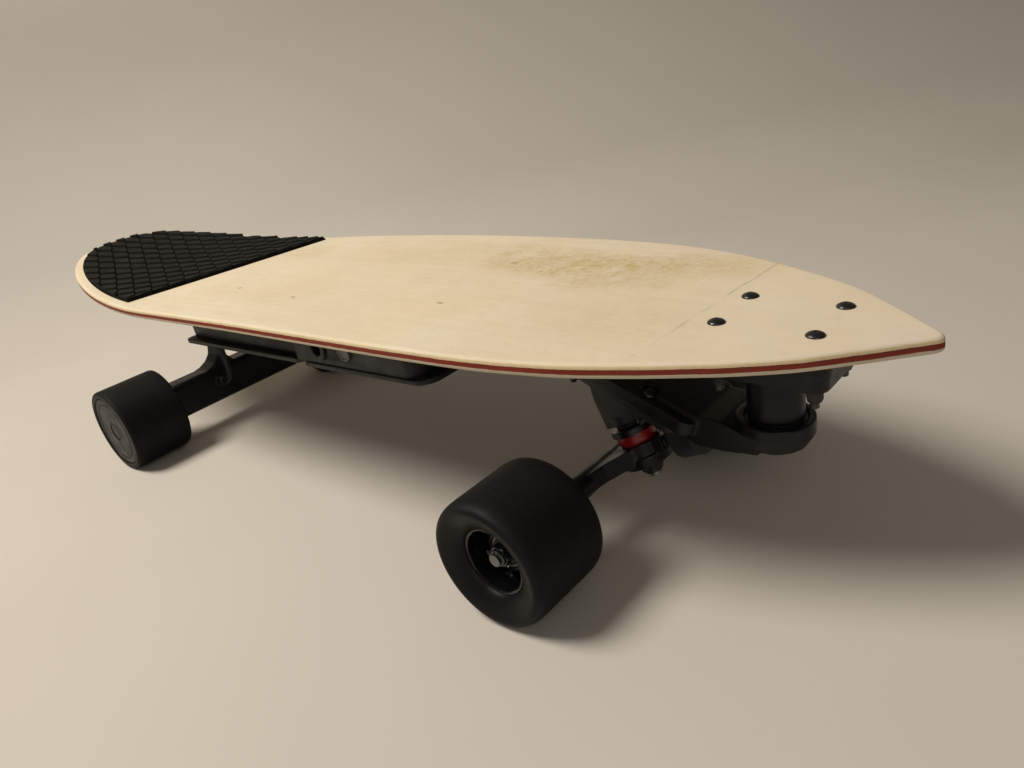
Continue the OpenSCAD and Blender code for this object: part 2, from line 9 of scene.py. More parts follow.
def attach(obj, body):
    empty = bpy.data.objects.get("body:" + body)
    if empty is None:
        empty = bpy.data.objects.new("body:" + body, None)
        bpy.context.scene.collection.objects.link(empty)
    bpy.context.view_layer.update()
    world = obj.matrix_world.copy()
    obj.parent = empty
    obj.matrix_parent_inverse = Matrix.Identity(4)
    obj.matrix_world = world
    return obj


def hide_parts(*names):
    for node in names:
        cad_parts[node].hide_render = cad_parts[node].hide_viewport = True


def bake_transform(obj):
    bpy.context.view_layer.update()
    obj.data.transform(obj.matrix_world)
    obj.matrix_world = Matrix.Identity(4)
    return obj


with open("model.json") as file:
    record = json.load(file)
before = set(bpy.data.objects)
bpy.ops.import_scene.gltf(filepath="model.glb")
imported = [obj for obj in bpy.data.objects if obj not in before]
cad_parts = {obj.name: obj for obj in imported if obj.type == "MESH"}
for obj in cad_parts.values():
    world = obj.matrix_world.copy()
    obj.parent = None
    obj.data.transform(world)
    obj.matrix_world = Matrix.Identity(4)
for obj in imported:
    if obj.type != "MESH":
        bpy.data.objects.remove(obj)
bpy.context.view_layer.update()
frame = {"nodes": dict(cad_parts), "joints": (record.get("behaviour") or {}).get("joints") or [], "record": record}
NODES = frame["nodes"]
JOINTS = {j["name"]: j for j in frame["joints"]}
SCENE = bpy.context.scene
COLL = SCENE.collection
MM = 0.001


# ---------------------------------------------------------------- camera
def camera():
    yaw, pitch, roll, f = 0.802743, 0.394574, 0.217276, 778.269
    fwd = Vector((-math.sin(yaw) * math.cos(pitch), math.cos(yaw) * math.cos(pitch), -math.sin(pitch)))
    right = Vector((math.cos(yaw), math.sin(yaw), 0.0))
    down = fwd.cross(right)
    r2 = math.cos(roll) * right + math.sin(roll) * down
    d2 = -math.sin(roll) * right + math.cos(roll) * down
    data = bpy.data.cameras.new("camera")
    cam = bpy.data.objects.new("camera", data)
    COLL.objects.link(cam)
    rot = Matrix((r2, -d2, -fwd)).transposed()
    cam.matrix_world = Matrix.Translation((0.559099, -0.37762, 0.30944)) @ rot.to_4x4()
    data.sensor_width = 36.0
    data.lens = f / 1024.0 * 36.0
    data.clip_start = 0.01
    data.clip_end = 50.0
    data.dof.use_dof = False
    SCENE.camera = cam
    return fwd


FWD = camera()


# ---------------------------------------------------------------- materials
class Nodes:
    """A small helper that writes one procedural material."""

    def __init__(self, name):
        self.mat = bpy.data.materials.new(name)
        self.mat.use_nodes = True
        self.t = self.mat.node_tree
        self.t.nodes.clear()
        self.out = self.t.nodes.new("ShaderNodeOutputMaterial")
        self.bsdf = self.t.nodes.new("ShaderNodeBsdfPrincipled")
        self.link(self.bsdf.outputs[0], self.out.inputs[0])
        self.coord = self.t.nodes.new("ShaderNodeTexCoord")

    def link(self, a, b):
        self.t.links.new(a, b)

    def set(self, name, value):
        self.bsdf.inputs[name].default_value = value

    def mapping(self, scale=(1, 1, 1), loc=(0, 0, 0), rot=(0, 0, 0)):
        m = self.t.nodes.new("ShaderNodeMapping")
        m.inputs["Scale"].default_value = scale
        m.inputs["Location"].default_value = loc
        m.inputs["Rotation"].default_value = rot
        self.link(self.coord.outputs["Object"], m.inputs["Vector"])
        return m.outputs["Vector"]

    def noise(self, scale, detail=4.0, rough=0.55, vec=None, dist=0.0):
        n = self.t.nodes.new("ShaderNodeTexNoise")
        n.inputs["Scale"].default_value = scale
        n.inputs["Detail"].default_value = detail
        n.inputs["Roughness"].default_value = rough
        n.inputs["Distortion"].default_value = dist
        self.link(vec if vec is not None else self.coord.outputs["Object"], n.inputs["Vector"])
        return n.outputs["Fac"]

    def voronoi(self, scale, vec=None, feature="F1"):
        n = self.t.nodes.new("ShaderNodeTexVoronoi")
        n.feature = feature
        n.inputs["Scale"].default_value = scale
        self.link(vec if vec is not None else self.coord.outputs["Object"], n.inputs["Vector"])
        return n.outputs["Distance"]

    def wave(self, scale, vec=None, dist=1.0, detail=2.0, dscale=1.0, axis="X"):
        n = self.t.nodes.new("ShaderNodeTexWave")
        n.bands_direction = axis
        n.inputs["Scale"].default_value = scale
        n.inputs["Distortion"].default_value = dist
        n.inputs["Detail"].default_value = detail
        n.inputs["Detail Scale"].default_value = dscale
        self.link(vec if vec is not None else self.coord.outputs["Object"], n.inputs["Vector"])
        return n.outputs["Fac"]

    def ramp(self, fac, stops, mode="LINEAR"):
        r = self.t.nodes.new("ShaderNodeValToRGB")
        r.color_ramp.interpolation = mode
        while len(r.color_ramp.elements) < len(stops):
            r.color_ramp.elements.new(0.5)
        for e, (p, c) in zip(r.color_ramp.elements, stops):
            e.position = p
            e.color = (c, c, c, 1) if not hasattr(c, "__len__") else (*c, 1)
        self.link(fac, r.inputs["Fac"])
        return r.outputs["Color"]

    def mix(self, fac, a, b, mode="MIX"):
        m = self.t.nodes.new("ShaderNodeMix")
        m.data_type = "RGBA"
        m.blend_type = mode
        for sock, v in ((m.inputs[0], fac), (m.inputs[6], a), (m.inputs[7], b)):
            if isinstance(v, (int, float)):
                sock.default_value = v
            elif hasattr(v, "__len__"):
                sock.default_value = (*v, 1)
            else:
                self.link(v, sock)
        return m.outputs[2]

    def math(self, op, a, b=0.0, clamp=False):
        m = self.t.nodes.new("ShaderNodeMath")
        m.operation = op
        m.use_clamp = clamp
        for sock, v in ((m.inputs[0], a), (m.inputs[1], b)):
            if isinstance(v, (int, float)):
                sock.default_value = v
            else:
                self.link(v, sock)
        return m.outputs[0]

    def bump(self, height, strength=0.3, distance=0.0005, after=None):
        b = self.t.nodes.new("ShaderNodeBump")
        b.inputs["Strength"].default_value = strength
        b.inputs["Distance"].default_value = distance
        self.link(height, b.inputs["Height"])
        if after is not None:
            self.link(after, b.inputs["Normal"])
        return b.outputs["Normal"]

    def attr(self, name):
        a = self.t.nodes.new("ShaderNodeAttribute")
        a.attribute_name = name
        return a.outputs["Fac"]

    def sep(self, vec=None):
        s = self.t.nodes.new("ShaderNodeSeparateXYZ")
        self.link(vec if vec is not None else self.coord.outputs["Object"], s.inputs[0])
        return s.outputs

    def up(self):
        g = self.t.nodes.new("ShaderNodeNewGeometry")
        s = self.t.nodes.new("ShaderNodeSeparateXYZ")
        self.link(g.outputs["Normal"], s.inputs[0])
        return s.outputs[2]

    def blob(self, x, y, rx, ry):
        """1 at a point of the plan, falling to 0 at an ellipse round it."""
        o = self.sep()
        a = self.math("MULTIPLY", self.math("SUBTRACT", o[0], x), 1.0 / rx)
        b = self.math("MULTIPLY", self.math("SUBTRACT", o[1], y), 1.0 / ry)
        d = self.math("ADD", self.math("MULTIPLY", a, a), self.math("MULTIPLY", b, b))
        return self.math("SUBTRACT", 1.0, d, clamp=True)


def simple(name, col, rough=0.5, metal=0.0, var=0.18, scale=45.0, fine=900.0, bump=0.12, dist=0.0003,
           rvar=0.12, top_lighten=0.0, top_col=(0.30, 0.26, 0.21), coat=0.0, spec=0.5, stretch=(1, 1, 1)):
    """Colour variation, uneven gloss, fine grain relief and patchy lightening of upward-facing surfaces for one
    material.
    """
    n = Nodes(name)
    v = n.mapping(stretch)
    big = n.noise(scale, 5, 0.6, v)
    lo = tuple(max(0.0, c * (1 - var)) for c in col)
    hi = tuple(min(1.0, c * (1 + var)) for c in col)
    c = n.ramp(big, [(0.3, lo), (0.7, hi)])
    if top_lighten > 0:
        # upward-facing surfaces are lightened in noisy patches, by the given amount and towards the given colour
        d = n.math("MULTIPLY", n.ramp(n.up(), [(0.35, 0.0), (1.0, 1.0)]), n.ramp(n.noise(70, 6, 0.7), [(0.42, 0.0), (0.75, 1.0)]))
        c = n.mix(n.math("MULTIPLY", d, top_lighten), c, top_col)
    n.link(c, n.bsdf.inputs["Base Color"])
    r = n.ramp(n.noise(scale * 1.7, 4, 0.6, v), [(0.25, max(0.03, rough - rvar)), (0.75, min(1.0, rough + rvar))])
    n.link(r, n.bsdf.inputs["Roughness"])
    n.link(n.bump(n.noise(fine, 3, 0.6, v), bump, dist), n.bsdf.inputs["Normal"])
    n.set("Metallic", metal)
    n.set("Coat Weight", coat)
    n.set("Specular IOR Level", spec)
    return n.mat


def wood_top():
    n = Nodes("maple_top")
    grain_v = n.mapping((6, 170, 40))
    fine_v = n.mapping((30, 900, 200))
    grain = n.noise(1.0, 6, 0.62, grain_v, 0.6)
    fine = n.noise(1.0, 3, 0.6, fine_v)
    c = n.ramp(grain, [(0.30, (0.735, 0.615, 0.435)), (0.55, (0.785, 0.675, 0.495)), (0.8, (0.81, 0.71, 0.54))])
    c = n.mix(n.ramp(fine, [(0.56, 0.0), (0.85, 0.22)]), c, (0.62, 0.50, 0.34))
    # a bleached, scuffed surface with yellow-brown stains where feet stand
    scuff = n.noise(9.0, 8, 0.72)
    c = n.mix(n.ramp(scuff, [(0.42, 0.0), (0.68, 0.70)]), c, (0.86, 0.775, 0.63))
    mott = n.ramp(n.noise(120.0, 6, 0.75), [(0.40, 0.0), (0.62, 0.34)])
    c = n.mix(mott, c, (0.70, 0.585, 0.42))
    nose = n.ramp(n.sep()[0], [(0.20, 0.0), (0.46, 0.55)])
    c = n.mix(nose, c, (0.80, 0.675, 0.545))
    yel = n.ramp(n.noise(5.5, 4, 0.6), [(0.48, 0.0), (0.66, 0.45)])
    c = n.mix(yel, c, (0.80, 0.665, 0.42))
    spots = n.noise(38.0, 8, 0.75)
    stains = [(0.185, 0.0535, 0.085, 0.036, 1.0), (0.247, 0.034, 0.070, 0.036, 0.85), (0.290, 0.066, 0.070, 0.028, 0.75),
              (0.120, 0.080, 0.080, 0.020, 0.45), (-0.060, -0.040, 0.110, 0.040, 0.30), (0.020, 0.050, 0.160, 0.030, 0.25),
              (0.300, -0.030, 0.070, 0.040, 0.30), (-0.140, 0.060, 0.050, 0.030, 0.35)]
    total = None
    for x, y, rx, ry, k in stains:
        b = n.math("MULTIPLY", n.blob(x, y, rx, ry), k)
        total = b if total is None else n.math("ADD", total, b, clamp=True)
    grit = n.ramp(n.noise(210.0, 4, 0.7), [(0.38, 0.35), (0.62, 1.0)])
    total = n.math("MULTIPLY", n.math("MULTIPLY", total, n.ramp(spots, [(0.30, 0.0), (0.56, 1.0)])), grit)
    c = n.mix(total, c, (0.57, 0.43, 0.19))
    # dirt specks along the grain
    speck = n.ramp(n.noise(1.0, 2, 0.5, n.mapping((130, 420, 200))), [(0.70, 0.0), (0.78, 1.0)])
    where = n.ramp(n.noise(14.0, 4, 0.6), [(0.42, 0.0), (0.66, 0.75)])
    c = n.mix(n.math("MULTIPLY", speck, where), c, (0.36, 0.285, 0.17))
    # a faint line across the deck behind the front bolts, and old screw marks
    o = n.sep()
    lx = n.math("SUBTRACT", n.math("SUBTRACT", o[0], n.math("MULTIPLY", o[1], 0.06)), 0.3416)
    wob = n.math("MULTIPLY", n.math("SUBTRACT", n.noise(30.0, 3), 0.5), 0.004)
    line = n.math("SUBTRACT", 1.0, n.math("MULTIPLY", n.math("ABSOLUTE", n.math("ADD", lx, wob)), 1 / 0.0014), clamp=True)
    line = n.math("MULTIPLY", line, n.math("LESS_THAN", n.math("ABSOLUTE", o[1]), 0.080))
    c = n.mix(n.math("MULTIPLY", line, n.ramp(n.noise(55.0, 4), [(0.4, 0.0), (0.6, 0.5)])), c, (0.30, 0.25, 0.17))
    for x, y in ((0.158, -0.041), (0.0, -0.0577), (-0.1024, -0.0476), (0.152, 0.046)):
        c = n.mix(n.math("MULTIPLY", n.blob(x, y, 0.0042, 0.0018), 0.75), c, (0.22, 0.17, 0.11))
    # plies show in the edge: pale, red, pale; thin dark glue lines between them
    d = n.attr("depth")
    pale = n.mix(n.ramp(fine, [(0.4, 0.0), (0.7, 0.5)]), (0.72, 0.58, 0.35), (0.58, 0.43, 0.24))
    red = n.mix(n.noise(1.0, 5, 0.6, n.mapping((25, 25, 600))), (0.10, 0.010, 0.005), (0.30, 0.038, 0.016))
    low = n.mix(n.noise(1.0, 5, 0.6, n.mapping((25, 25, 500))), (0.46, 0.38, 0.27), (0.66, 0.58, 0.44))
    jag = n.math("MULTIPLY", n.math("SUBTRACT", n.noise(120.0, 4), 0.5), 0.0008)
    dj = n.math("ADD", d, jag)
    c = n.mix(n.math("GREATER_THAN", dj, 0.0013), c, pale)
    c = n.mix(n.math("GREATER_THAN", dj, 0.0031), c, red)
    c = n.mix(n.math("GREATER_THAN", dj, 0.0060), c, low)
    for at in (0.0031, 0.0060):
        g = n.math("SUBTRACT", 1.0, n.math("MULTIPLY", n.math("ABSOLUTE", n.math("SUBTRACT", dj, at)), 1 / 0.00016), clamp=True)
        c = n.mix(n.math("MULTIPLY", g, 0.55), c, (0.12, 0.05, 0.03))
    under = n.mix(grain, (0.40, 0.32, 0.21), (0.54, 0.45, 0.31))
    c = n.mix(n.math("GREATER_THAN", d, 0.0088), c, under)
    n.link(c, n.bsdf.inputs["Base Color"])
    n.link(n.ramp(n.noise(22.0, 5, 0.6), [(0.3, 0.52), (0.7, 0.74)]), n.bsdf.inputs["Roughness"])
    b = n.bump(fine, 0.22, 0.00025)
    n.link(n.bump(n.noise(140.0, 6, 0.75), 0.22, 0.0006, b), n.bsdf.inputs["Normal"])
    n.set("Specular IOR Level", 0.30)
    return n.mat


def foam():
    n = Nodes("eva_foam")
    h = n.attr("depth")
    c = n.ramp(n.noise(60.0, 6, 0.7), [(0.3, (0.0075, 0.0074, 0.0064)), (0.7, (0.0130, 0.0125, 0.0108))])
    # painted shade: the low parts of the pad, below about 2 mm of height (the base sheet and the foot of each scale,
    # down in the grooves), are darkened almost to black
    c = n.mix(n.ramp(h, [(0.42, 1.0), (0.72, 0.0)]), c, (0.0016, 0.0016, 0.0015))
    c = n.mix(n.math("MULTIPLY", n.ramp(n.noise(26.0, 6, 0.75), [(0.5, 0.0), (0.75, 0.55)]), n.ramp(h, [(0.5, 0.0), (1.2, 1.0)])), c, (0.024, 0.022, 0.018))
    n.link(c, n.bsdf.inputs["Base Color"])
    n.link(n.ramp(n.noise(40.0, 4), [(0.3, 0.66), (0.7, 0.86)]), n.bsdf.inputs["Roughness"])
    cells = n.voronoi(1500.0)
    b = n.bump(cells, 0.35, 0.0002)
    n.link(n.bump(n.noise(500.0, 4, 0.7), 0.2, 0.0003, b), n.bsdf.inputs["Normal"])
    n.set("Specular IOR Level", 0.12)
    return n.mat


def urethane():
    n = Nodes("black_urethane")
    c = n.ramp(n.noise(28.0, 6, 0.65), [(0.3, (0.0035, 0.0035, 0.0036)), (0.7, (0.0060, 0.0058, 0.0055))])
    # scuffs and dust on the rolling surface and lips
    w = n.attr("wear")
    scr = n.ramp(n.noise(1.0, 6, 0.7, n.mapping((90, 600, 90))), [(0.45, 0.0), (0.75, 1.0)])
    c = n.mix(n.math("MULTIPLY", n.math("MULTIPLY", scr, w), 0.30), c, (0.020, 0.018, 0.015))
    n.link(c, n.bsdf.inputs["Base Color"])
    rr = n.ramp(n.noise(35.0, 5), [(0.3, 0.36), (0.7, 0.55)])
    n.link(n.mix(n.math("MULTIPLY", w, 0.6), rr, (0.72, 0.72, 0.72)), n.bsdf.inputs["Roughness"])
    n.link(n.bump(n.noise(420.0, 5, 0.7), 0.18, 0.0003), n.bsdf.inputs["Normal"])
    n.set("Specular IOR Level", 0.16)
    return n.mat


def rings_metal(name, col, rough=0.35, metal=1.0, pitch=2600.0):
    """Turned metal: fine machining lines round the wheel axis (row Y)."""
    n = Nodes(name)
    c = n.ramp(n.noise(40.0, 5, 0.6), [(0.3, tuple(x * 0.82 for x in col)), (0.7, tuple(min(1, x * 1.12) for x in col))])
    n.link(c, n.bsdf.inputs["Base Color"])
    n.link(n.ramp(n.noise(90.0, 4), [(0.3, rough - 0.08), (0.7, rough + 0.14)]), n.bsdf.inputs["Roughness"])
    n.link(n.bump(n.noise(1.0, 2, 0.5, n.mapping((pitch * 0.2, pitch, pitch * 0.2))), 0.12, 0.0002), n.bsdf.inputs["Normal"])
    n.set("Metallic", metal)
    return n.mat


def cells_wrap():
    n = Nodes("cell_wrap")
    o = n.sep()
    c = n.ramp(n.noise(30.0, 4), [(0.3, (0.02, 0.16, 0.11)), (0.7, (0.03, 0.25, 0.17))])
    n.link(c, n.bsdf.inputs["Base Color"])
    n.link(n.ramp(n.noise(90.0, 4), [(0.3, 0.22), (0.7, 0.38)]), n.bsdf.inputs["Roughness"])
    n.link(n.bump(n.wave(120.0, None, 3.0, 2.0, 2.0, "Y"), 0.05, 0.0002), n.bsdf.inputs["Normal"])
    return n.mat


def board_green():
    n = Nodes("circuit_board")
    tr = n.ramp(n.voronoi(260.0, n.mapping((1, 1, 0.05))), [(0.35, 0.0), (0.45, 1.0)])
    c = n.mix(tr, (0.01, 0.10, 0.035), (0.02, 0.17, 0.06))
    n.link(c, n.bsdf.inputs["Base Color"])
    n.link(n.ramp(n.noise(120.0, 4), [(0.3, 0.25), (0.7, 0.45)]), n.bsdf.inputs["Roughness"])
    n.link(n.bump(tr, 0.1, 0.0002), n.bsdf.inputs["Normal"])
    return n.mat


def winding():
    n = Nodes("copper_winding")
    w = n.wave(1.0, n.mapping((700, 700, 700)), 0.6, 1.0, 1.0, "Z")
    c = n.mix(w, (0.30, 0.10, 0.035), (0.60, 0.25, 0.09))
    n.link(c, n.bsdf.inputs["Base Color"])
    n.link(n.ramp(n.noise(150.0, 3), [(0.3, 0.3), (0.7, 0.5)]), n.bsdf.inputs["Roughness"])
    n.link(n.bump(w, 0.4, 0.0004), n.bsdf.inputs["Normal"])
    n.set("Metallic", 0.7)
    return n.mat


MAT = {
    "maple_top": wood_top(),
    "eva_pad": foam(),
    "black_urethane": urethane(),
    "black_steel": simple("black_steel", (0.010, 0.010, 0.0105), 0.30, 0.0, 0.3, 120, 1500, 0.10, 0.0002, 0.10, 0.10, (0.05, 0.045, 0.037), spec=0.6),
    "black_cast": simple("black_cast", (0.0062, 0.0062, 0.0066), 0.36, 0.0, 0.30, 60, 1100, 0.18, 0.0003, 0.10, 0.22, (0.020, 0.018, 0.015), spec=0.26),
    "grey_cast": simple("grey_cast", (0.0125, 0.0125, 0.0130), 0.42, 0.0, 0.25, 60, 1100, 0.20, 0.0003, 0.10, 0.25, (0.030, 0.027, 0.022), spec=0.34),
    "zinc_steel": simple("zinc_steel", (0.21, 0.215, 0.205), 0.36, 1.0, 0.16, 150, 1800, 0.10, 0.00015, 0.12, 0.0),
    # painted shade: a darker copy of zinc_steel for the axle nuts, which sit down in the wheel hubs
    "shaded_zinc_steel": simple("shaded_zinc_steel", (0.105, 0.110, 0.098), 0.38, 1.0, 0.16, 150, 1800, 0.10, 0.00015, 0.12, 0.0),
    "dark_steel": simple("dark_steel", (0.045, 0.045, 0.046), 0.36, 1.0, 0.2, 150, 1800, 0.10, 0.00015, 0.12, 0.0),
    "amber_urethane": simple("amber_urethane", (0.55, 0.22, 0.04), 0.35, 0.0, 0.15, 60, 900, 0.1, 0.0002, 0.1),
    "black_rubber": simple("black_rubber", (0.008, 0.008, 0.008), 0.72, 0.0, 0.25, 80, 1200, 0.25, 0.0003, 0.10, 0.2),
    "pivot_plastic": simple("pivot_plastic", (0.70, 0.69, 0.64), 0.45, 0.0, 0.06, 80, 900, 0.08, 0.0002, 0.08),
    "red_urethane": simple("red_urethane", (0.23, 0.006, 0.008), 0.36, 0.0, 0.22, 70, 700, 0.10, 0.0003, 0.10, 0.15, coat=0.2),
    "bronze": simple("bronze", (0.55, 0.36, 0.15), 0.34, 1.0, 0.15, 120, 1500, 0.10, 0.00015, 0.1),
    "enclosure_plastic": simple("enclosure_plastic", (0.0095, 0.0096, 0.0100), 0.46, 0.0, 0.22, 50, 1300, 0.30, 0.0003, 0.10, 0.25, (0.025, 0.022, 0.018), spec=0.28),
    "button_plastic": simple("button_plastic", (0.045, 0.045, 0.047), 0.28, 0.0, 0.15, 90, 1500, 0.06, 0.0001, 0.08),
    "cell_wrap": cells_wrap(),
    "circuit_board": board_green(),
    "plate_aluminium": simple("plate_aluminium", (0.030, 0.0305, 0.031), 0.42, 0.9, 0.14, 30, 1000, 0.14, 0.0002, 0.12, 0.1, stretch=(1, 14, 1)),
    "cable_jacket": simple("cable_jacket", (0.006, 0.006, 0.006), 0.55, 0.0, 0.25, 90, 800, 0.15, 0.0003, 0.10, 0.2),
    "core_plastic": simple("core_plastic", (0.0035, 0.0035, 0.0037), 0.17, 0.0, 0.25, 80, 1200, 0.06, 0.0002, 0.06, 0.0, spec=0.5),
    "copper_winding": winding(),
    "motor_aluminium": rings_metal("motor_aluminium", (0.020, 0.0205, 0.0195), 0.44, 0.55),
    "seal": simple("bearing_seal", (0.008, 0.008, 0.008), 0.5, 0.0, 0.2, 200, 1500, 0.1, 0.0001, 0.1),
}
MAT["red_ply"] = simple("red_ply", (0.28, 0.05, 0.025), 0.6, 0.0, 0.25, 60, 800, 0.2, 0.0002, 0.1, stretch=(1, 20, 20))
MAT["maple_bottom"] = simple("maple_bottom", (0.50, 0.42, 0.30), 0.6, 0.0, 0.15, 40, 800, 0.2, 0.0002, 0.1, stretch=(1, 20, 20))


# ---------------------------------------------------------------- mesh helpers
def finish_mesh(name, bm, mat, smooth=True, angle=None):
    bmesh.ops.recalc_face_normals(bm, faces=bm.faces[:])
    me = bpy.data.meshes.new(name)
    bm.to_mesh(me)
    bm.free()
    me.validate()
    ob = bpy.data.objects.new(name, me)
    COLL.objects.link(ob)
    for m in mat if isinstance(mat, (list, tuple)) else [mat]:
        me.materials.append(m)
    me.shade_smooth() if smooth else me.shade_flat()
    if angle is not None:
        sharp(me, angle)
    return ob


def sharp(me, angle):
    """Smooth shading with sharp edges where two faces meet at more than angle degrees."""
    bm = bmesh.new()
    bm.from_mesh(me)
    lim = math.radians(angle)
    for e in bm.edges:
        e.smooth = not (len(e.link_faces) == 2 and e.calc_face_angle(0.0) > lim)
    for f in bm.faces:
        f.smooth = True
    bm.to_mesh(me)
    bm.free()


def loft(bm, rings, closed=False, caps=False, m=None, wear=None):
    """Quads between equal rings of points; caps fills the first and last ring."""
    made = [[bm.verts.new(m @ Vector(p) if m is not None else Vector(p)) for p in r] for r in rings]
    n = len(made[0])
    pairs = list(zip(made, made[1:])) + ([(made[-1], made[0])] if closed else [])
    for a, b in pairs:
        for k in range(n):
            bm.faces.new((a[k], a[(k + 1) % n], b[(k + 1) % n], b[k]))
    if caps:
        bm.faces.new(list(reversed(made[0])))
        bm.faces.new(made[-1])
    return made


def smooth_profile(pts, k=4, closed=True):
    """Catmull-Rom points through a profile of (r, z)."""
    n = len(pts)
    out = []
    for i in range(n if closed else n - 1):
        p0, p1, p2, p3 = (pts[(i + d) % n] if closed else pts[min(max(i + d, 0), n - 1)] for d in (-1, 0, 1, 2))
        for s in range(k):
            t = s / k
            out.append(tuple(0.5 * (2 * b + (c - a) * t + (2 * a - 5 * b + 4 * c - d) * t * t + (3 * b - a - 3 * c + d) * t ** 3)
                             for a, b, c, d in zip(p0, p1, p2, p3)))
    if not closed:
        out.append(pts[-1])
    return out


def lathe(bm, prof, m, seg=96, closed=True, hexed=None):
    """A closed (r, z) profile in millimetres turned about the local Z of m."""
    rings = []
    for r, z in prof:
        rings.append([(r * MM * math.cos(2 * math.pi * k / seg), r * MM * math.sin(2 * math.pi * k / seg), z * MM) for k in range(seg)])
    return loft(bm, rings, closed=closed, m=m)


def lathe_obj(name, prof, m, mat, seg=96, angle=28, bm=None):
    bm = bmesh.new()
    profs = prof if isinstance(prof[0][0], (list, tuple)) else [prof]
    for p in profs:
        lathe(bm, p, m, seg)
    return finish_mesh(name, bm, mat, True, angle)


def nut(bm, af, z0, z1, bore, m, collar=None, seg=72, cham=0.10, up=True):
    """A hexagon nut or head, chamfered at both ends, with an optional nylon collar. bore 0 makes it solid."""
    R = af / math.sqrt(3)
    h = z1 - z0
    prof = [(0.90, 0), (1.0, cham), (1.0, 1 - cham), (0.90, 1)]
    rings = []
    inner = max(bore, 0.02)
    rings.append([(inner * MM * math.cos(2 * math.pi * k / seg), inner * MM * math.sin(2 * math.pi * k / seg), z0 * MM) for k in range(seg)])
    for lim, t in prof:
        ring = []
        for k in range(seg):
            a = 2 * math.pi * k / seg
            hexr = (af / 2) / math.cos((a % (math.pi / 3)) - math.pi / 6)
            r = min(hexr, R * lim)
            ring.append((r * MM * math.cos(a), r * MM * math.sin(a), (z0 + h * t) * MM))
        rings.append(ring)
    if collar:
        cz, cr = collar
        sgn = 1 if cz > z1 else -1
        for r, z in ((cr, z1), (cr, cz - 0.5 * sgn), (cr - 0.6, cz)):
            rings.append([(r * MM * math.cos(2 * math.pi * k / seg), r * MM * math.sin(2 * math.pi * k / seg), z * MM) for k in range(seg)])
        top = cz
    else:
        top = z1
    rings.append([(inner * MM * math.cos(2 * math.pi * k / seg), inner * MM * math.sin(2 * math.pi * k / seg), top * MM) for k in range(seg)])
    loft(bm, rings, closed=True, m=m)


def button_bolt(bm, m, shaft_r, z0, head_r, head_h, sock=1.9, seg=48, base=0.0):
    """A domed head with a hexagon socket, and its shaft down to z0, in millimetres."""
    def ring(r, z, hexed=False):
        out = []
        for k in range(seg):
            a = 2 * math.pi * k / seg
            q = r if not hexed else (r * math.cos(math.pi / 6)) / math.cos((a % (math.pi / 3)) - math.pi / 6)
            out.append((q * MM * math.cos(a), q * MM * math.sin(a), z * MM))
        return out
    rings = [ring(shaft_r * 0.75, z0), ring(shaft_r, z0 + 0.6), ring(shaft_r, base - 0.2), ring(head_r * 0.97, base), ring(head_r, base + 0.25)]
    for t in (0.2, 0.4, 0.6, 0.78, 0.92):
        a = t * math.pi / 2
        rings.append(ring(head_r * math.cos(a) * 0.98 + 0.02 * head_r, base + 0.25 + (head_h - 0.25) * math.sin(a)))
    top = base + head_h
    rings += [ring(sock + 0.55, top), ring(sock + 0.1, top - 0.08, True), ring(sock, top - 0.3, True), ring(sock, top - 1.3, True), ring(sock * 0.4, top - 1.7)]
    loft(bm, rings, caps=True, m=m)


def evaluated(ob, name):
    dg = bpy.context.evaluated_depsgraph_get()
    me = bpy.data.meshes.new_from_object(ob.evaluated_get(dg))
    me.name = name
    return me


def copy_node(node, name):
    me = NODES[node].data.copy()
    me.name = name
    bm = bmesh.new()
    bm.from_mesh(me)
    bmesh.ops.remove_doubles(bm, verts=bm.verts[:], dist=2e-6)
    bmesh.ops.dissolve_degenerate(bm, edges=bm.edges[:], dist=1e-6)
    bm.to_mesh(me)
    bm.free()
    ob = bpy.data.objects.new(name, me)
    COLL.objects.link(ob)
    return ob


def cast(node, body, mat, voxel=0.0008, smooth=6, factor=0.5, name=None):
    """A casting: the frame's solid with every edge and corner rounded as a mould leaves them."""
    name = name or node + "_cast"
    ob = copy_node(node, name)
    r = ob.modifiers.new("r", "REMESH")
    r.mode = "VOXEL"
    r.voxel_size = voxel
    r.use_smooth_shade = True
    s = ob.modifiers.new("s", "SMOOTH")
    s.factor = factor
    s.iterations = smooth
    me = evaluated(ob, name)
    old = ob.data
    ob.modifiers.clear()
    ob.data = me
    bpy.data.meshes.remove(old)
    me.materials.clear()
    me.materials.append(mat)
    me.shade_smooth()
    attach(ob, body)
    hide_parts(node)
    return ob


def bevelled(node, body, mat, width=0.0006, segments=2, angle=32, name=None):
    """Machined or moulded: the frame's solid with small radii on its edges."""
    name = name or node + "_fine"
    ob = copy_node(node, name)
    bm = bmesh.new()
    bm.from_mesh(ob.data)
    bmesh.ops.dissolve_limit(bm, angle_limit=math.radians(1.0), verts=bm.verts[:], edges=bm.edges[:], delimit={"NORMAL"})
    bm.to_mesh(ob.data)
    bm.free()
    b = ob.modifiers.new("b", "BEVEL")
    b.width = width
    b.segments = segments
    b.limit_method = "ANGLE"
    b.angle_limit = math.radians(angle)
    b.use_clamp_overlap = True
    b.harden_normals = False
    me = evaluated(ob, name)
    old = ob.data
    ob.modifiers.clear()
    ob.data = me
    bpy.data.meshes.remove(old)
    me.materials.clear()
    me.materials.append(mat)
    sharp(me, 30)
    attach(ob, body)
    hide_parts(node)
    return ob


def T(x, y, z):
    return Matrix.Translation((x * MM, y * MM, z * MM))


def RY(deg):
    return Matrix.Rotation(math.radians(deg), 4, "Y")


def RX(deg):
    return Matrix.Rotation(math.radians(deg), 4, "X")


QUAD = [(sx * 26.99, sy * 20.64) for sx in (-1, 1) for sy in (-1, 1)]


# ---------------------------------------------------------------- deck
def top_f(x):
    u, s = x - 383.0, max(0.0, -177.0 - x)
    return 153.25 - 0.058 * u - 0.000067 * u * u + 0.0005 * s * s


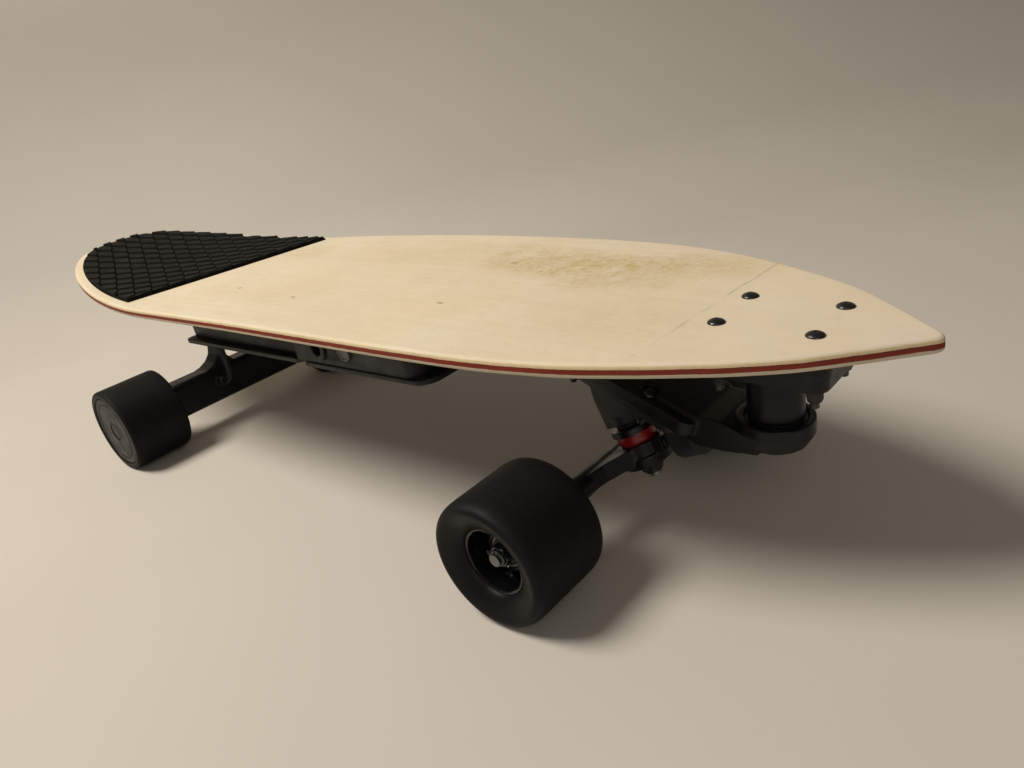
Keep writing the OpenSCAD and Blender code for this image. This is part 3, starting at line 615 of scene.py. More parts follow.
HALF_W = 115.5
TAIL_X, NOSE_X, TAIL_C, TAIL_P = -467.0, 467.0, -40.0, 2.8
NOSE_PTS = [(-80, 0), (-40, 0), (53, 0), (103, 0.5), (153, 1.6), (203, 3.8), (253, 8.2), (303, 18), (343, 32.5),
            (383, 50.5), (413, 68.5), (443, 93.5), (457, 106.5), (464, 112.5), (467, 115.5)]
DECK_T = 9.0


def half_outline(w=HALF_W, xe=TAIL_X, fine=6, arc=110):
    pts = []
    for i in range(arc + 1):
        a = math.pi / 2 * i / arc
        x = TAIL_C - (TAIL_C - xe) * math.cos(a) ** (2 / TAIL_P)
        t = (TAIL_C - x) / (TAIL_C - xe)
        if x < TAIL_C - 2:
            pts.append((x, w * max(0.0, 1 - t ** TAIL_P) ** (1 / TAIL_P)))
    for i in range(1, len(NOSE_PTS) - 1):
        a, b, c = NOSE_PTS[i - 1], NOSE_PTS[i], NOSE_PTS[i + 1]
        d = NOSE_PTS[min(i + 2, len(NOSE_PTS) - 1)]
        for k in range(fine):
            t = k / fine
            y = 0.5 * (2 * b[1] + (c[1] - a[1]) * t + (2 * a[1] - 5 * b[1] + 4 * c[1] - d[1]) * t * t + (3 * b[1] - a[1] - 3 * c[1] + d[1]) * t ** 3)
            pts.append((b[0] + (c[0] - b[0]) * t, max(0.05, w - y)))
    pts.append((NOSE_X, 0.0))
    pts[0] = (xe, 0.0)
    return pts


def deck():
    half = half_outline()
    loop = np.array(half + [(x, -y) for x, y in half[-2:0:-1]])
    # even spacing round the whole edge, then a light smoothing that also rounds the nose
    step = np.linalg.norm(np.roll(loop, -1, 0) - loop, axis=1)
    s = np.concatenate([[0.0], np.cumsum(step)])
    N = 2 * int(s[-1] / 5.2)
    K = N // 2
    at = np.arange(N) * s[-1] / N
    ring0 = np.vstack([loop, loop[:1]])
    P = np.stack([np.interp(at, s, ring0[:, 0]), np.interp(at, s, ring0[:, 1])], 1)
    for _ in range(12):
        P = 0.25 * np.roll(P, 1, 0) + 0.5 * P + 0.25 * np.roll(P, -1, 0)
    P[0][1] = P[K][1] = 0.0
    tan = np.roll(P, -1, 0) - np.roll(P, 1, 0)
    tan /= np.linalg.norm(tan, axis=1)[:, None]
    nor = np.stack([-tan[:, 1], tan[:, 0]], 1)
    nor *= np.where((nor * (P - [0, 0])).sum(1) < 0, -1, 1)[:, None]
    nor[0] = (-1, 0)
    nor[K] = (1, 0)

    def ring(ins):
        q = P - nor * ins
        for i in range(N):
            if i == 0 or i == K:
                q[i][1] = 0
            elif P[i][1] > 0:
                q[i][1] = max(q[i][1], 0.02)
            else:
                q[i][1] = min(q[i][1], -0.02)
        return q
    r1, r2 = 2.5, 2.8
    prof = [(4.2, 0.0)]
    for k in range(6):
        a = math.pi / 2 * k / 5
        prof.append((r1 * (1 - math.sin(a)) * 0.98 + 0.0, r1 * (1 - math.cos(a))))
    for d in (3.1, 4.2, 5.2, 6.0):
        prof.append((0.0, d))
    for k in range(5, -1, -1):
        a = math.pi / 2 * k / 5
        prof.append((r2 * (1 - math.sin(a)), DECK_T - r2 * (1 - math.cos(a))))
    prof.append((4.2, DECK_T))
    bm = bmesh.new()
    lay = bm.verts.layers.float.new("depth")
    rings = []
    for ins, d in prof:
        q = ring(ins)
        row = []
        for x, y in q:
            v = bm.verts.new((x * MM, y * MM, (top_f(x) - d) * MM))
            v[lay] = d * MM
            row.append(v)
        rings.append(row)
    for a, b in zip(rings, rings[1:]):
        for k in range(N):
            bm.faces.new((a[k], a[(k + 1) % N], b[(k + 1) % N], b[k]))

    def cap(row, d):
        M = 20
        prev = [row[0]]
        for i in range(1, K):
            a, b = row[i], row[N - i]
            cur = [a]
            for j in range(1, M):
                f = j / M
                x = a.co.x
                y = a.co.y * (1 - 2 * f)
                v = bm.verts.new((x, y, (top_f(x * 1000) - d) * MM))
                v[lay] = d * MM
                cur.append(v)
            cur.append(b)
            if len(prev) == 1:
                for j in range(M):
                    bm.faces.new((prev[0], cur[j], cur[j + 1]))
            else:
                for j in range(M):
                    bm.faces.new((prev[j], cur[j], cur[j + 1], prev[j + 1]))
            prev = cur
        for j in range(M):
            bm.faces.new((prev[j], row[K], prev[j + 1]))
    cap(rings[0], 0.0)
    cap(rings[-1], DECK_T)
    bmesh.ops.remove_doubles(bm, verts=bm.verts[:], dist=2e-6)
    bmesh.ops.dissolve_degenerate(bm, edges=bm.edges[:], dist=1e-6)
    ob = finish_mesh("deck_laminate", bm, MAT["maple_top"], True, 60)
    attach(ob, "board")
    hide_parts("deck_top_plies", "deck_red_plies", "deck_bottom_plies")
    return ob


# ---------------------------------------------------------------- tail pad
def clip_poly(poly, region):
    """Sutherland-Hodgman: poly inside the convex, counter-clockwise region."""
    out = poly
    n = len(region)
    for i in range(n):
        ax, ay = region[i]
        bx, by = region[(i + 1) % n]
        src, out = out, []
        if not src:
            return []
        def side(p):
            return (bx - ax) * (p[1] - ay) - (by - ay) * (p[0] - ax)
        for j in range(len(src)):
            p, q = src[j], src[(j + 1) % len(src)]
            sp, sq = side(p), side(q)
            if sp >= 0:
                out.append(p)
            if (sp >= 0) != (sq >= 0):
                t = sp / (sp - sq)
                out.append((p[0] + (q[0] - p[0]) * t, p[1] + (q[1] - p[1]) * t))
    return out


def area(poly):
    return 0.5 * sum(poly[i][0] * poly[(i + 1) % len(poly)][1] - poly[(i + 1) % len(poly)][0] * poly[i][1] for i in range(len(poly)))


def shrink(poly, d):
    """Moves each side of a convex polygon inwards by d; None if it vanishes."""
    n = len(poly)
    c = (sum(p[0] for p in poly) / n, sum(p[1] for p in poly) / n)
    out = poly
    for i in range(n):
        ax, ay = poly[i]
        bx, by = poly[(i + 1) % n]
        L = math.hypot(bx - ax, by - ay)
        if L < 1e-6:
            continue
        nx, ny = -(by - ay) / L, (bx - ax) / L
        src, out = out, []
        for j in range(len(src)):
            p, q = src[j], src[(j + 1) % len(src)]
            sp = (p[0] - ax) * nx + (p[1] - ay) * ny - d
            sq = (q[0] - ax) * nx + (q[1] - ay) * ny - d
            if sp >= 0:
                out.append(p)
            if (sp >= 0) != (sq >= 0):
                t = sp / (sp - sq)
                out.append((p[0] + (q[0] - p[0]) * t, p[1] + (q[1] - p[1]) * t))
        if len(out) < 3:
            return None
    return out


def front_x(y):
    return -201.0 + 0.2277 * y


def pad():
    ins = 10.0
    half = half_outline(HALF_W - ins, TAIL_X + ins, 6, 60)
    loop = [(x, y) for x, y in half] + [(x, -y) for x, y in half[-2:0:-1]]
    if area(loop) < 0:
        loop = loop[::-1]
    box = [(-480, -140), (front_x(-140), -140), (front_x(140), 140), (-480, 140)]
    region = clip_poly(loop, box)
    # one point every few millimetres along each side of a polygon; nothing below calls it
    def dense(poly, step):
        out = []
        for i in range(len(poly)):
            p, q = poly[i], poly[(i + 1) % len(poly)]
            k = max(1, int(math.hypot(q[0] - p[0], q[1] - p[1]) / step))
            out += [(p[0] + (q[0] - p[0]) * t / k, p[1] + (q[1] - p[1]) * t / k) for t in range(k)]
        return out
    bm = bmesh.new()
    lay = bm.verts.layers.float.new("depth")

    def put(x, y, h):
        v = bm.verts.new((x * MM, y * MM, (top_f(x) + h) * MM))
        # a fifth of the height goes in the depth attribute; the foam material uses it to paint shade into the grooves
        v[lay] = h / 5.0
        return v
    # base sheet, split in strips across the kick so that it bends with the deck
    base_h = 1.9
    xs = sorted(set([-457.0 + 8.0 * i for i in range(0, 38)]))
    lo = min(p[0] for p in region)
    hi = max(p[0] for p in region)
    cuts = [lo] + [x for x in xs if lo + 1 < x < hi - 1] + [hi]
    for h, flip in ((0.02, True), (base_h, False)):
        for a, b in zip(cuts, cuts[1:]):
            strip = clip_poly(region, [(a, -200), (b, -200), (b, 200), (a, 200)])
            if len(strip) >= 3:
                vs = [put(x, y, h) for x, y in strip]
                bm.faces.new(vs[::-1] if flip else vs)
    bmesh.ops.remove_doubles(bm, verts=bm.verts[:], dist=1e-6)
    edge = [e for e in bm.edges if e.is_boundary]
    # join the two sheets with a wall
    top_v = {}
    bot_v = {}
    for e in edge:
        for v in e.verts:
            key = (round(v.co.x * 1e6), round(v.co.y * 1e6))
            (top_v if v[lay] > 0.3 else bot_v)[key] = v
    for e in edge:
        a, b = e.verts
        if a[lay] > 0.3:
            ka = (round(a.co.x * 1e6), round(a.co.y * 1e6))
            kb = (round(b.co.x * 1e6), round(b.co.y * 1e6))
            if ka in bot_v and kb in bot_v:
                bm.faces.new((a, b, bot_v[kb], bot_v[ka]))
    # long diamond scales, each a raised block with chamfered sides, higher towards the tail
    LX, LY = 41.0, 17.5
    gap = 0.85
    for i in range(-14, 2):
        for j in range(-8, 9):
            for ox, oy in ((0, 0), (0.5, 0.5)):
                cx, cy = (i + ox) * LX - 12, (j + oy) * LY
                poly = []
                for k in range(16):
                    a = 2 * math.pi * k / 16
                    ca, sa = math.cos(a), math.sin(a)
                    e = 1.18
                    px = LX / 2 * math.copysign(abs(ca) ** (2 / e), ca)
                    py = LY / 2 * math.copysign(abs(sa) ** (2 / e), sa)
                    py += 1.2 * math.sin(math.pi * px / (LX / 2)) * (1 - abs(px) / (LX / 2))
                    poly.append((cx + px, cy + py))
                # a concave S-curved scale: clip the scale by the pad's outline
                cell = clip_poly(poly, region)
                if len(cell) < 3 or area(cell) < 14:
                    continue
                foot = shrink(cell, gap)
                if not foot or area(foot) < 8:
                    continue
                c = (sum(p[0] for p in foot) / len(foot), sum(p[1] for p in foot) / len(foot))

                def tilt(x):
                    return -1.15 * (x - cx) / LX
                crest = shrink(foot, 0.9)
                if not crest or area(crest) < 3:
                    continue
                # same number of points in each ring: project the foot's points on the crest by scaling to the centre
                r0 = foot
                levels = [(r0, 0.0, 0.0), (r0, 0.0, 0.55), (r0, 0.42, 1.0)]
                rings = []
                for q, s, t in levels:
                    row = []
                    for x, y in q:
                        dx, dy = c[0] - x, c[1] - y
                        L = math.hypot(dx, dy) or 1.0
                        k = min(0.95 if s else 0.0, (s * 1.6) / L * 1.0) if s else 0.0
                        xx, yy = x + dx * k, y + dy * k
                        hgt = base_h - 0.15 + t * (2.6 - tilt(xx) * 2.6)
                        row.append(put(xx, yy, min(max(hgt, base_h - 0.1), 5.9)))
                    rings.append(row)
                n = len(r0)
                for a, b in zip(rings, rings[1:]):
                    for k in range(n):
                        bm.faces.new((a[k], a[(k + 1) % n], b[(k + 1) % n], b[k]))
                cen = put(c[0], c[1], min(base_h - 0.15 + (2.8 - tilt(c[0]) * 2.6), 5.95))
                for k in range(n):
                    bm.faces.new((rings[-1][k], rings[-1][(k + 1) % n], cen))
                bm.faces.new(rings[0][::-1])
    ob = finish_mesh("tail_pad_foam", bm, MAT["eva_pad"], True, 34)
    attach(ob, "board")
    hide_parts("tail_pad")
    return ob


deck()
pad()

# ---------------------------------------------------------------- frames of the trucks
FM = T(383, 0, top_f(383)) @ RY(3.32)
RM = T(-255, 0, top_f(-255)) @ RY(2.9)
TM = T(275, 0, 102.2) @ RY(25)
kp = JOINTS["front_lean"]["pos_m"]
rp = JOINTS["rear_lean"]["pos_m"]
KM = Matrix.Translation(kp) @ RY(-22)
RKM = Matrix.Translation(rp) @ RY(25)


def deck_hardware():
    bm = bmesh.new()
    for m, l in ((FM, 41), (RM, 29.5)):
        for x, y in QUAD:
            button_bolt(bm, m @ T(x, y, 0), 2.5, -l, 5.0, 2.2 if m is FM else 2.0, 1.7, base=-0.1)
    ob = finish_mesh("deck_bolts_fine", bm, MAT["black_steel"], True, 35)
    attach(ob, "board")
    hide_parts("deck_bolts")
    bm = bmesh.new()
    for m, z in ((FM, -31), (RM, -20.35)):
        for x, y in QUAD:
            nut(bm, 8, z, z - 4.4, 2.5, m @ T(x, y, 0), collar=(z - 6, 3.9))
    ob = finish_mesh("deck_lock_nuts_fine", bm, MAT["dark_steel"], True, 30)
    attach(ob, "board")
    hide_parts("deck_lock_nuts")


deck_hardware()


# ---------------------------------------------------------------- front truck
def bushing(name, node, prof, m, mat):
    """A turned urethane bushing, placed in world space and attached to no body."""
    ob = lathe_obj(name, prof, m, mat, 72, 40)
    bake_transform(ob)
    if node:
        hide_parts(node)
    return ob


def rounded(profile):
    return profile


def barrel(ri, r, z0, z1, n=8, bulge=0.5):
    out = [(ri, z0)]
    for k in range(n + 1):
        t = k / n
        z = z0 + (z1 - z0) * t
        e = 0.7 * (max(0, 1 - t * n / 1.0) + max(0, 1 - (1 - t) * n / 1.0))
        out.append((r - bulge - e + bulge * math.sin(math.pi * t), z))
    out.append((ri, z1))
    for k in range(n - 1, 0, -1):
        out.append((ri, z0 + (z1 - z0) * k / n))
    return out


def cone_prof(ri, ra, rb, za, zb, n=6):
    out = [(ri, za)]
    for k in range(n + 1):
        t = k / n
        e = 0.5 * (max(0, 1 - t * n) + max(0, 1 - (1 - t) * n))
        out.append((ra + (rb - ra) * t - e + 0.35 * math.sin(math.pi * t) - 0.2, za + (zb - za) * t))
    out.append((ri, zb))
    for k in range(n - 1, 0, -1):
        out.append((ri, za + (zb - za) * k / n))
    return out


f1 = bushing("front_boardside_bushing_fine", "front_boardside_bushing", barrel(4.76, 14.0, 5.1, 16.0), KM, MAT["red_urethane"])
f2 = bushing("front_roadside_bushing_fine", "front_roadside_bushing", cone_prof(4.76, 10.0, 12.5, -10.4, -5.1), KM, MAT["red_urethane"])
bm = None
r1 = bushing("rear_boardside_bushing_fine", "rear_bushings", barrel(4.76, 14.0, 5.1, 19.0), RKM, MAT["black_rubber"])
r2 = bushing("rear_roadside_bushing_fine", "rear_bushings", cone_prof(4.76, 10.0, 12.5, -13.0, -5.1), RKM, MAT["black_rubber"])


def washers():
    k = 4.9
    cup = [(k, 16.0), (14.1, 16.0), (14.1, 13.0), (14.4, 12.8), (15.3, 12.8), (15.6, 13.1), (15.6, 16.9), (15.0, 17.5), (k, 17.5)]
    low = [(k, -10.4), (10.6, -10.4), (11.0, -10.7), (11.0, -11.3), (10.6, -11.6), (k, -11.6)]
    ob = lathe_obj("front_cup_washers_fine", [cup, low], KM, MAT["dark_steel"], 72, 30)
    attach(ob, "swivel_arm")
    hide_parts("front_cup_washers")
    cup = [(k, 19.0), (14.2, 19.0), (14.6, 19.3), (14.6, 20.1), (14.2, 20.5), (k, 20.5)]
    low = [(k, -13.0), (10.6, -13.0), (11.0, -13.3), (11.0, -14.0), (10.6, -14.3), (k, -14.3)]
    ob = lathe_obj("rear_cup_washers_fine", [cup, low], RKM, MAT["dark_steel"], 72, 30)
    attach(ob, "board")
    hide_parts("rear_cup_washers")
    for name, node, m, z, body in (("front_kingpin_nut_fine", "front_kingpin_nut", KM, -11.6, "swivel_arm"), ("rear_kingpin_nut_fine", "rear_kingpin_nut", RKM, -14.3, "board")):
        bm = bmesh.new()
        nut(bm, 14.3, z, z - 5.2, 4.8, m, collar=(z - 7.2, 6.6))
        ob = finish_mesh(name, bm, MAT["dark_steel"], True, 30)
        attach(ob, body)
        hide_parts(node)


washers()


def truck_bolts():
    bm = bmesh.new()
    for x, y in QUAD:
        m = TM @ T(x, y, 0)
        button_bolt(bm, m, 2.5, -9, 4.6, 2.6, 1.7, base=15.0)
        nut(bm, 8, -0.05, -5.2, 2.5, m)
    ob = finish_mesh("front_truck_bolts_fine", bm, MAT["black_steel"], True, 32)
    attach(ob, "swivel_arm")
    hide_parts("front_truck_bolts")


truck_bolts()

cast("swivel_arm", "swivel_arm", MAT["black_cast"], 0.0008, 5)
cast("adapter_base", "board", MAT["black_cast"], 0.0008, 5)
cast("front_baseplate", "swivel_arm", MAT["grey_cast"], 0.0007, 5)
cast("front_hanger", "front_hanger", MAT["black_cast"], 0.0007, 5)
cast("rear_hanger", "rear_hanger", MAT["black_cast"], 0.0009, 6)
cast("rear_baseplate", "board", MAT["black_cast"], 0.0008, 5)


# ---------------------------------------------------------------- wheels
def wheel_frame(center, s):
    return Matrix.Translation(center) @ RX(-90 * s)


def mirrored(half):
    """A closed profile from its outer half: (r, z) with z > 0, from the bore outwards."""
    return half + [(r, -z) for r, z in half[::-1]]


def tag_wear(ob, m, r_from, r_full):
    inv = m.inverted()
    me = ob.data
    at = me.attributes.new("wear", "FLOAT", "POINT")
    vals = []
    for v in me.vertices:
        p = inv @ v.co
        r = math.hypot(p.x, p.y) * 1000
        vals.append(min(1.0, max(0.0, (r - r_from) / (r_full - r_from))))
    at.data.foreach_set("value", vals)


def bearing(prefix, node, m, body):
    a = 4.05
    steel, seal = [], []
    for z0, z1 in ((5.0, 12.0), (-12.0, -5.0)):
        steel += [[(a, z0), (5.6, z0), (5.6, z0 + 0.5), (5.9, z0 + 0.7), (5.9, z1 - 0.7), (5.6, z1 - 0.5), (5.6, z1), (a, z1)],
                  [(9.6, z0), (10.7, z0), (11.0, z0 + 0.3), (11.0, z1 - 0.3), (10.7, z1), (9.6, z1), (9.6, z1 - 0.7), (9.4, z1 - 0.8), (9.4, z0 + 0.8), (9.6, z0 + 0.7)]]
        seal += [[(5.95, z0 + 0.55), (9.35, z0 + 0.55), (9.35, z1 - 0.55), (8.9, z1 - 0.45), (8.6, z1 - 0.7), (6.6, z1 - 0.7), (6.3, z1 - 0.45), (5.95, z1 - 0.55)]]
    o = lathe_obj(prefix + "_bearing_rings", steel, m, MAT["zinc_steel"], 64, 30)
    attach(o, body)
    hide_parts(node)
    o = lathe_obj(prefix + "_bearing_seals", seal, m, MAT["seal"], 64, 30)
    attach(o, body)


def core_mesh(name, node, m, body):
    """The moulded core: rim tube, bearing hub and seven ribbed spokes with filleted roots."""
    bm = bmesh.new()
    rim = mirrored([(20.2, 3.0), (20.4, 22.4), (20.7, 23.2), (21.3, 23.6), (22.2, 23.6), (22.58, 23.2), (22.58, 3.0)])
    hub = [(11.05, 5.0), (11.05, 11.6), (11.6, 12.4), (13.2, 12.5), (13.9, 11.6), (13.9, -11.6), (13.2, -12.5), (11.6, -12.4), (11.05, -11.6), (11.05, -5.0), (9.0, -4.9), (9.0, 4.9)]
    lathe(bm, rim, m, 112)
    lathe(bm, hub, m, 84)
    web = [(13.4, 1.6), (20.6, 1.6), (20.6, -1.6), (13.4, -1.6)]
    lathe(bm, web, m, 112)
    for k in range(7):
        mm = m @ Matrix.Rotation(2 * math.pi * k / 7, 4, "Z")
        rings = []
        for x, w, h in ((13.2, 3.3, 10.4), (14.4, 2.3, 10.0), (16.8, 1.9, 9.9), (19.2, 2.4, 10.4), (20.8, 3.6, 11.6)):
            c = 0.6
            rings.append([(x * MM, yy * MM, zz * MM) for yy, zz in ((-w + c, -h), (w - c, -h), (w, -h + c), (w, h - c), (w - c, h), (-w + c, h), (-w, h - c), (-w, -h + c))])
        loft(bm, rings, caps=True, m=mm)
    o = finish_mesh(name, bm, MAT["core_plastic"], True, 30)
    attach(o, body)
    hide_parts(node)


def front_wheel(side, s):
    body = f"front_{side}_wheel"
    m = wheel_frame(JOINTS[f"front_{side}_spin"]["pos_m"], s)
    outer = [(22.62, 23.3), (23.3, 24.7), (25.0, 26.4), (28, 28.5), (31.0, 30.0), (34.0, 31.2), (35.6, 31.75), (37.2, 32.0), (39.0, 31.4), (40.6, 29.9), (41.7, 27.6), (42.3, 24.6), (42.5, 20.5)]
    side_prof = smooth_profile(outer, 4, closed=False)
    prof = side_prof + [(42.5, 12.0), (42.5, 4.0), (42.5, -4.0), (42.5, -12.0)] + [(r, -z) for r, z in side_prof[::-1]] + [(22.62, -8.0), (22.62, 8.0)]
    o = lathe_obj(f"front_{side}_tyre_fine", prof, m, MAT["black_urethane"], 160, 32)
    tag_wear(o, m, 36.0, 42.2)
    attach(o, body)
    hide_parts(f"front_{side}_tyre")
    core_mesh(f"front_{side}_core_fine", f"front_{side}_core", m, body)
    bearing(f"front_{side}", f"front_{side}_bearings", m, body)


def rear_wheel(side, s):
    body = f"rear_{side}_wheel"
    m = wheel_frame(JOINTS[f"rear_{side}_spin"]["pos_m"], s)
    h = 29.5
    outer = [(36.02, 27.4), (36.5, 28.6), (37.6, 29.4), (39.5, 29.5), (41.2, 29.45), (42.2, 28.9), (42.8, 27.9), (43, 26.2)]
    inner = [(43, -26.2), (42.8, -27.9), (42.2, -28.9), (41.2, -29.45), (39.5, -29.5), (38.0, -29.3), (36.6, -28.4), (36.02, -27.2)]
    prof = smooth_profile(outer, 3, closed=False) + [(43, 16), (43, 5), (43, -5), (43, -16)] + smooth_profile(inner, 3, closed=False) + [(36.02, -10), (36.02, 10)]
    o = lathe_obj(f"rear_{side}_sleeve_fine", prof, m, MAT["black_urethane"], 160, 32)
    tag_wear(o, m, 37.5, 42.8)
    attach(o, body)
    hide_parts(f"rear_{side}_sleeve")
    can = [(33.0, -21.2), (33.0, 26.6), (33.4, 27.0), (35.6, 27.0), (36.0, 26.6), (36.0, -27.0), (35.5, -27.5), (30.0, -27.5), (29.2, -26.9), (24.0, -26.9), (23.2, -27.5), (16.5, -27.5), (15.8, -26.4), (11.4, -26.4), (10.0, -27.4), (10.0, -25.0), (6.1, -25.0), (6.1, -21.1), (20.0, -21.0)]
    o = lathe_obj(f"rear_{side}_can_fine", can, m, MAT["motor_aluminium"], 128, 28)
    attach(o, body)
    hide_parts(f"rear_{side}_can")
    cover = [(0.01, 19.5), (0.01, 28.0), (7.0, 28.0), (7.6, 27.6), (9.4, 27.6), (10.0, 28.3), (10.4, 28.6), (28.8, 28.6), (29.3, 28.3), (29.5, 27.95), (30.5, 27.95), (30.7, 28.3), (31.2, 28.6), (34.9, 28.6), (35.6, 28.3), (35.9, 27.8), (35.9, 27.42), (33.0, 27.38), (33.0, 20.2), (32.4, 19.5)]
    o = lathe_obj(f"rear_{side}_cover_fine", cover, m, MAT["motor_aluminium"], 128, 28)
    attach(o, body)
    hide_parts(f"rear_{side}_cover")


for side, s in (("left", 1), ("right", -1)):
    front_wheel(side, s)
    rear_wheel(side, s)


def axle_nuts():
    bm = bmesh.new()
    for s in (1, -1):
        c = JOINTS["front_left_spin" if s > 0 else "front_right_spin"]["pos_m"]
        nut(bm, 12.7, 13.2, 18.4, 4.05, wheel_frame(c, s), collar=(20.4, 5.6))
    # the axle nuts take the darkened copy of zinc steel, which is painted shade
    ob = finish_mesh("front_axle_nuts_fine", bm, MAT["shaded_zinc_steel"], True, 30)
    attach(ob, "front_hanger")
    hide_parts("front_axle_nuts")


axle_nuts()


# ---------------------------------------------------------------- enclosure
bevelled("enclosure_shell", "board", MAT["enclosure_plastic"], 0.0010, 2, 40)
bevelled("enclosure_lid", "board", MAT["enclosure_plastic"], 0.0008, 2, 40)
bevelled("heatsink_plate", "board", MAT["plate_aluminium"], 0.0005, 2, 40)
bevelled("rear_riser_pad", "board", MAT["black_rubber"], 0.0004, 2, 40)
bevelled("adapter_pivot_bolt", "board", MAT["dark_steel"], 0.0007, 2, 25)


def port_and_button():
    m = Matrix.Translation((0.066, -0.090, 0.1405)) @ RX(90)
    prof = [(5.65, -11.5), (5.65, 0.6), (6.2, 1.5), (7.0, 1.6), (9.6, 1.6), (10.3, 1.2), (10.5, 0.5), (10.5, 0.02), (8.0, 0.0), (8.0, -13.0), (0.01, -13.0), (0.01, -11.6)]
    pin = [(0.01, -11.4), (1.3, -11.4), (1.3, -3.4), (1.0, -2.8), (0.01, -2.7)]
    bm = bmesh.new()
    lathe(bm, prof, m, 72)
    lathe(bm, pin, m, 24)
    ob = finish_mesh("charge_port_fine", bm, MAT["enclosure_plastic"], True, 28)
    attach(ob, "board")
    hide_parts("charge_port")
    m = Matrix.Translation((0.100, -0.090, 0.1405)) @ RX(90)
    prof = [(0.01, -6.0), (8.2, -6.0), (8.6, -5.6), (8.6, -4.4), (8.2, -4.0), (7.0, -4.0), (7.0, 0.9), (6.5, 1.5), (5.4, 1.6), (4.9, 1.15), (4.3, 1.05), (0.01, 0.85)]
    ob = lathe_obj("power_button_fine", prof, m, MAT["button_plastic"], 72, 28)
    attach(ob, "power_button")
    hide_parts("power_button")


port_and_button()

CAB = [(-157.5, 50, 142), (-168, 50, 142), (-180, 49.4, 141), (-191, 48, 137.5), (-200, 46, 131), (-206.5, 43.5, 121.5), (-210, 41, 110),
       (-211.5, 38.8, 98), (-212, 37, 86), (-213, 35.6, 74.5), (-216, 34.6, 64), (-221.5, 34.1, 55.5), (-228.5, 34, 51), (-234.9, 34, 50)]


def tube(bm, pts, r, seg=20):
    """A round lead along a smooth curve through the points, closed at both ends."""
    P = [Vector(p) * MM for p in smooth_profile(pts, 5, closed=False)]
    rings = []
    nrm = Vector((0, 1, 0))
    for i, p in enumerate(P):
        d = (P[min(i + 1, len(P) - 1)] - P[max(i - 1, 0)]).normalized()
        a = (nrm - d * nrm.dot(d)).normalized()
        b = d.cross(a)
        rings.append([p + (a * math.cos(2 * math.pi * k / seg) + b * math.sin(2 * math.pi * k / seg)) * r * MM for k in range(seg)])
    loft(bm, rings, caps=True)


def cables():
    bm = bmesh.new()
    for s in (1, -1):
        pts = [(x, y * s, z) for x, y, z in CAB]
        tube(bm, pts, 3.3)
    ob = finish_mesh("motor_cables_fine", bm, MAT["cable_jacket"], True, 50)
    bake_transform(ob)
    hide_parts("motor_cables")
    # grommets where the leads leave the enclosure, and glands on the hanger
    bm = bmesh.new()
    for s in (1, -1):
        m = Matrix.Translation((-0.160, 0.050 * s, 0.142)) @ RY(-90)
        lathe(bm, [(3.45, -0.5), (3.45, 4.6), (4.4, 5.0), (5.2, 4.2), (5.6, 1.6), (6.2, 0.6), (6.2, 0.05), (3.5, 0.0)], m, 40)
    ob = finish_mesh("cable_grommets", bm, MAT["black_rubber"], True, 30)
    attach(ob, "board")
    bm = bmesh.new()
    for s in (1, -1):
        m = T(-235.5, 34 * s, 50) @ RY(90)
        lathe(bm, [(3.65, -0.5), (3.65, 3.0), (4.6, 3.6), (5.4, 2.8), (5.8, 0.6), (5.8, 0.02), (3.7, 0.0)], m, 40)
    ob = finish_mesh("cable_glands", bm, MAT["black_rubber"], True, 30)
    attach(ob, "rear_hanger")


cables()

# ---------------------------------------------------------------- carried-over nodes
slots = {s["node"]: s["material_slot"] for s in frame["record"]["subparts"]}
for name, ob in NODES.items():
    if ob.hide_render:
        continue
    me = ob.data
    mat = MAT.get(slots.get(name), MAT["dark_steel"])
    if name == "front_speed_washers":
        mat = MAT["zinc_steel"]
    me.materials.clear()
    me.materials.append(mat)
    for p in me.polygons:
        p.material_index = 0


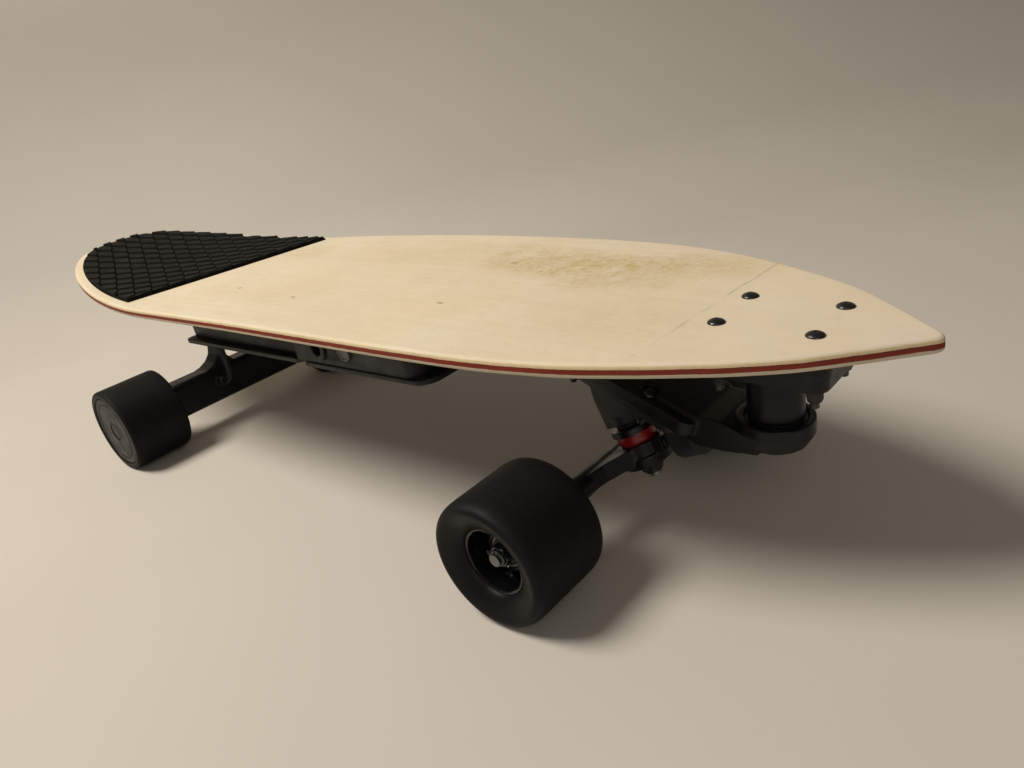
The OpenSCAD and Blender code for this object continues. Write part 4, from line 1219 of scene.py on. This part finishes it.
# ---------------------------------------------------------------- studio
def studio():
    """A plain pale floor that curves up behind the board, with shade painted on the rising wall, a soft key light and
    fill.
    """
    n = Nodes("studio_floor")
    c = n.ramp(n.noise(1.6, 4, 0.5), [(0.3, (0.60, 0.555, 0.495)), (0.7, (0.645, 0.60, 0.54))])
    # painted shade: the colour darkens with height, to 0.74 at 0.45 m and 0.70 at 1 m, where the sweep rises into the
    # wall
    painted_wall_shade = n.ramp(n.sep()[2], [(0.0, 1.0), (0.10, 0.86), (0.45, 0.74), (1.0, 0.70)])
    c = n.mix(1.0, c, painted_wall_shade, "MULTIPLY")
    n.link(c, n.bsdf.inputs["Base Color"])
    n.link(n.ramp(n.noise(3.0, 3), [(0.3, 0.80), (0.7, 0.95)]), n.bsdf.inputs["Roughness"])
    n.link(n.bump(n.noise(380.0, 4, 0.7), 0.05, 0.0004), n.bsdf.inputs["Normal"])
    n.set("Specular IOR Level", 0.15)
    fh = Vector((FWD.x, FWD.y, 0)).normalized()
    rt = Vector((fh.y, -fh.x, 0))
    cam = Vector((0.559099, -0.37762, 0))
    prof = [(-6.0, 0.0), (-2.0, 0.0), (0.0, 0.0), (1.0, 0.0)]
    x0, r = 1.30, 0.55
    for k in range(13):
        a = math.pi / 2 * k / 12
        prof.append((x0 + r * math.sin(a), r * (1 - math.cos(a))))
    prof += [(x0 + r, 1.6), (x0 + r, 5.0)]
    bm = bmesh.new()
    rows = []
    for t, z in prof:
        rows.append([bm.verts.new(cam + fh * t + rt * u + Vector((0, 0, z - 0.0002))) for u in (-6.0, -2.0, 2.0, 6.0)])
    for a, b in zip(rows, rows[1:]):
        for k in range(3):
            bm.faces.new((a[k], a[k + 1], b[k + 1], b[k]))
    ob = finish_mesh("studio_sweep", bm, n.mat, True)

    def area_light(name, loc, target, size, power, col):
        d = bpy.data.lights.new(name, "AREA")
        d.shape = "DISK"
        d.size = size
        d.energy = power
        d.color = col
        o = bpy.data.objects.new(name, d)
        COLL.objects.link(o)
        o.location = loc
        o.rotation_mode = "QUATERNION"
        o.rotation_quaternion = (Vector(target) - Vector(loc)).to_track_quat("-Z", "Y")
    area_light("key", (-0.66, -0.84, 1.92), (0.02, 0.0, 0.1), 0.95, 43.0, (1.0, 0.93, 0.83))
    area_light("fill", (1.6, -1.6, 1.1), (0.0, 0.0, 0.1), 1.6, 8.0, (1.0, 0.94, 0.86))
    w = bpy.data.worlds.new("studio")
    SCENE.world = w
    w.use_nodes = True
    bg = w.node_tree.nodes["Background"]
    bg.inputs[0].default_value = (0.80, 0.77, 0.73, 1)
    bg.inputs[1].default_value = 0.13
    SCENE.view_settings.view_transform = "Standard"


studio()
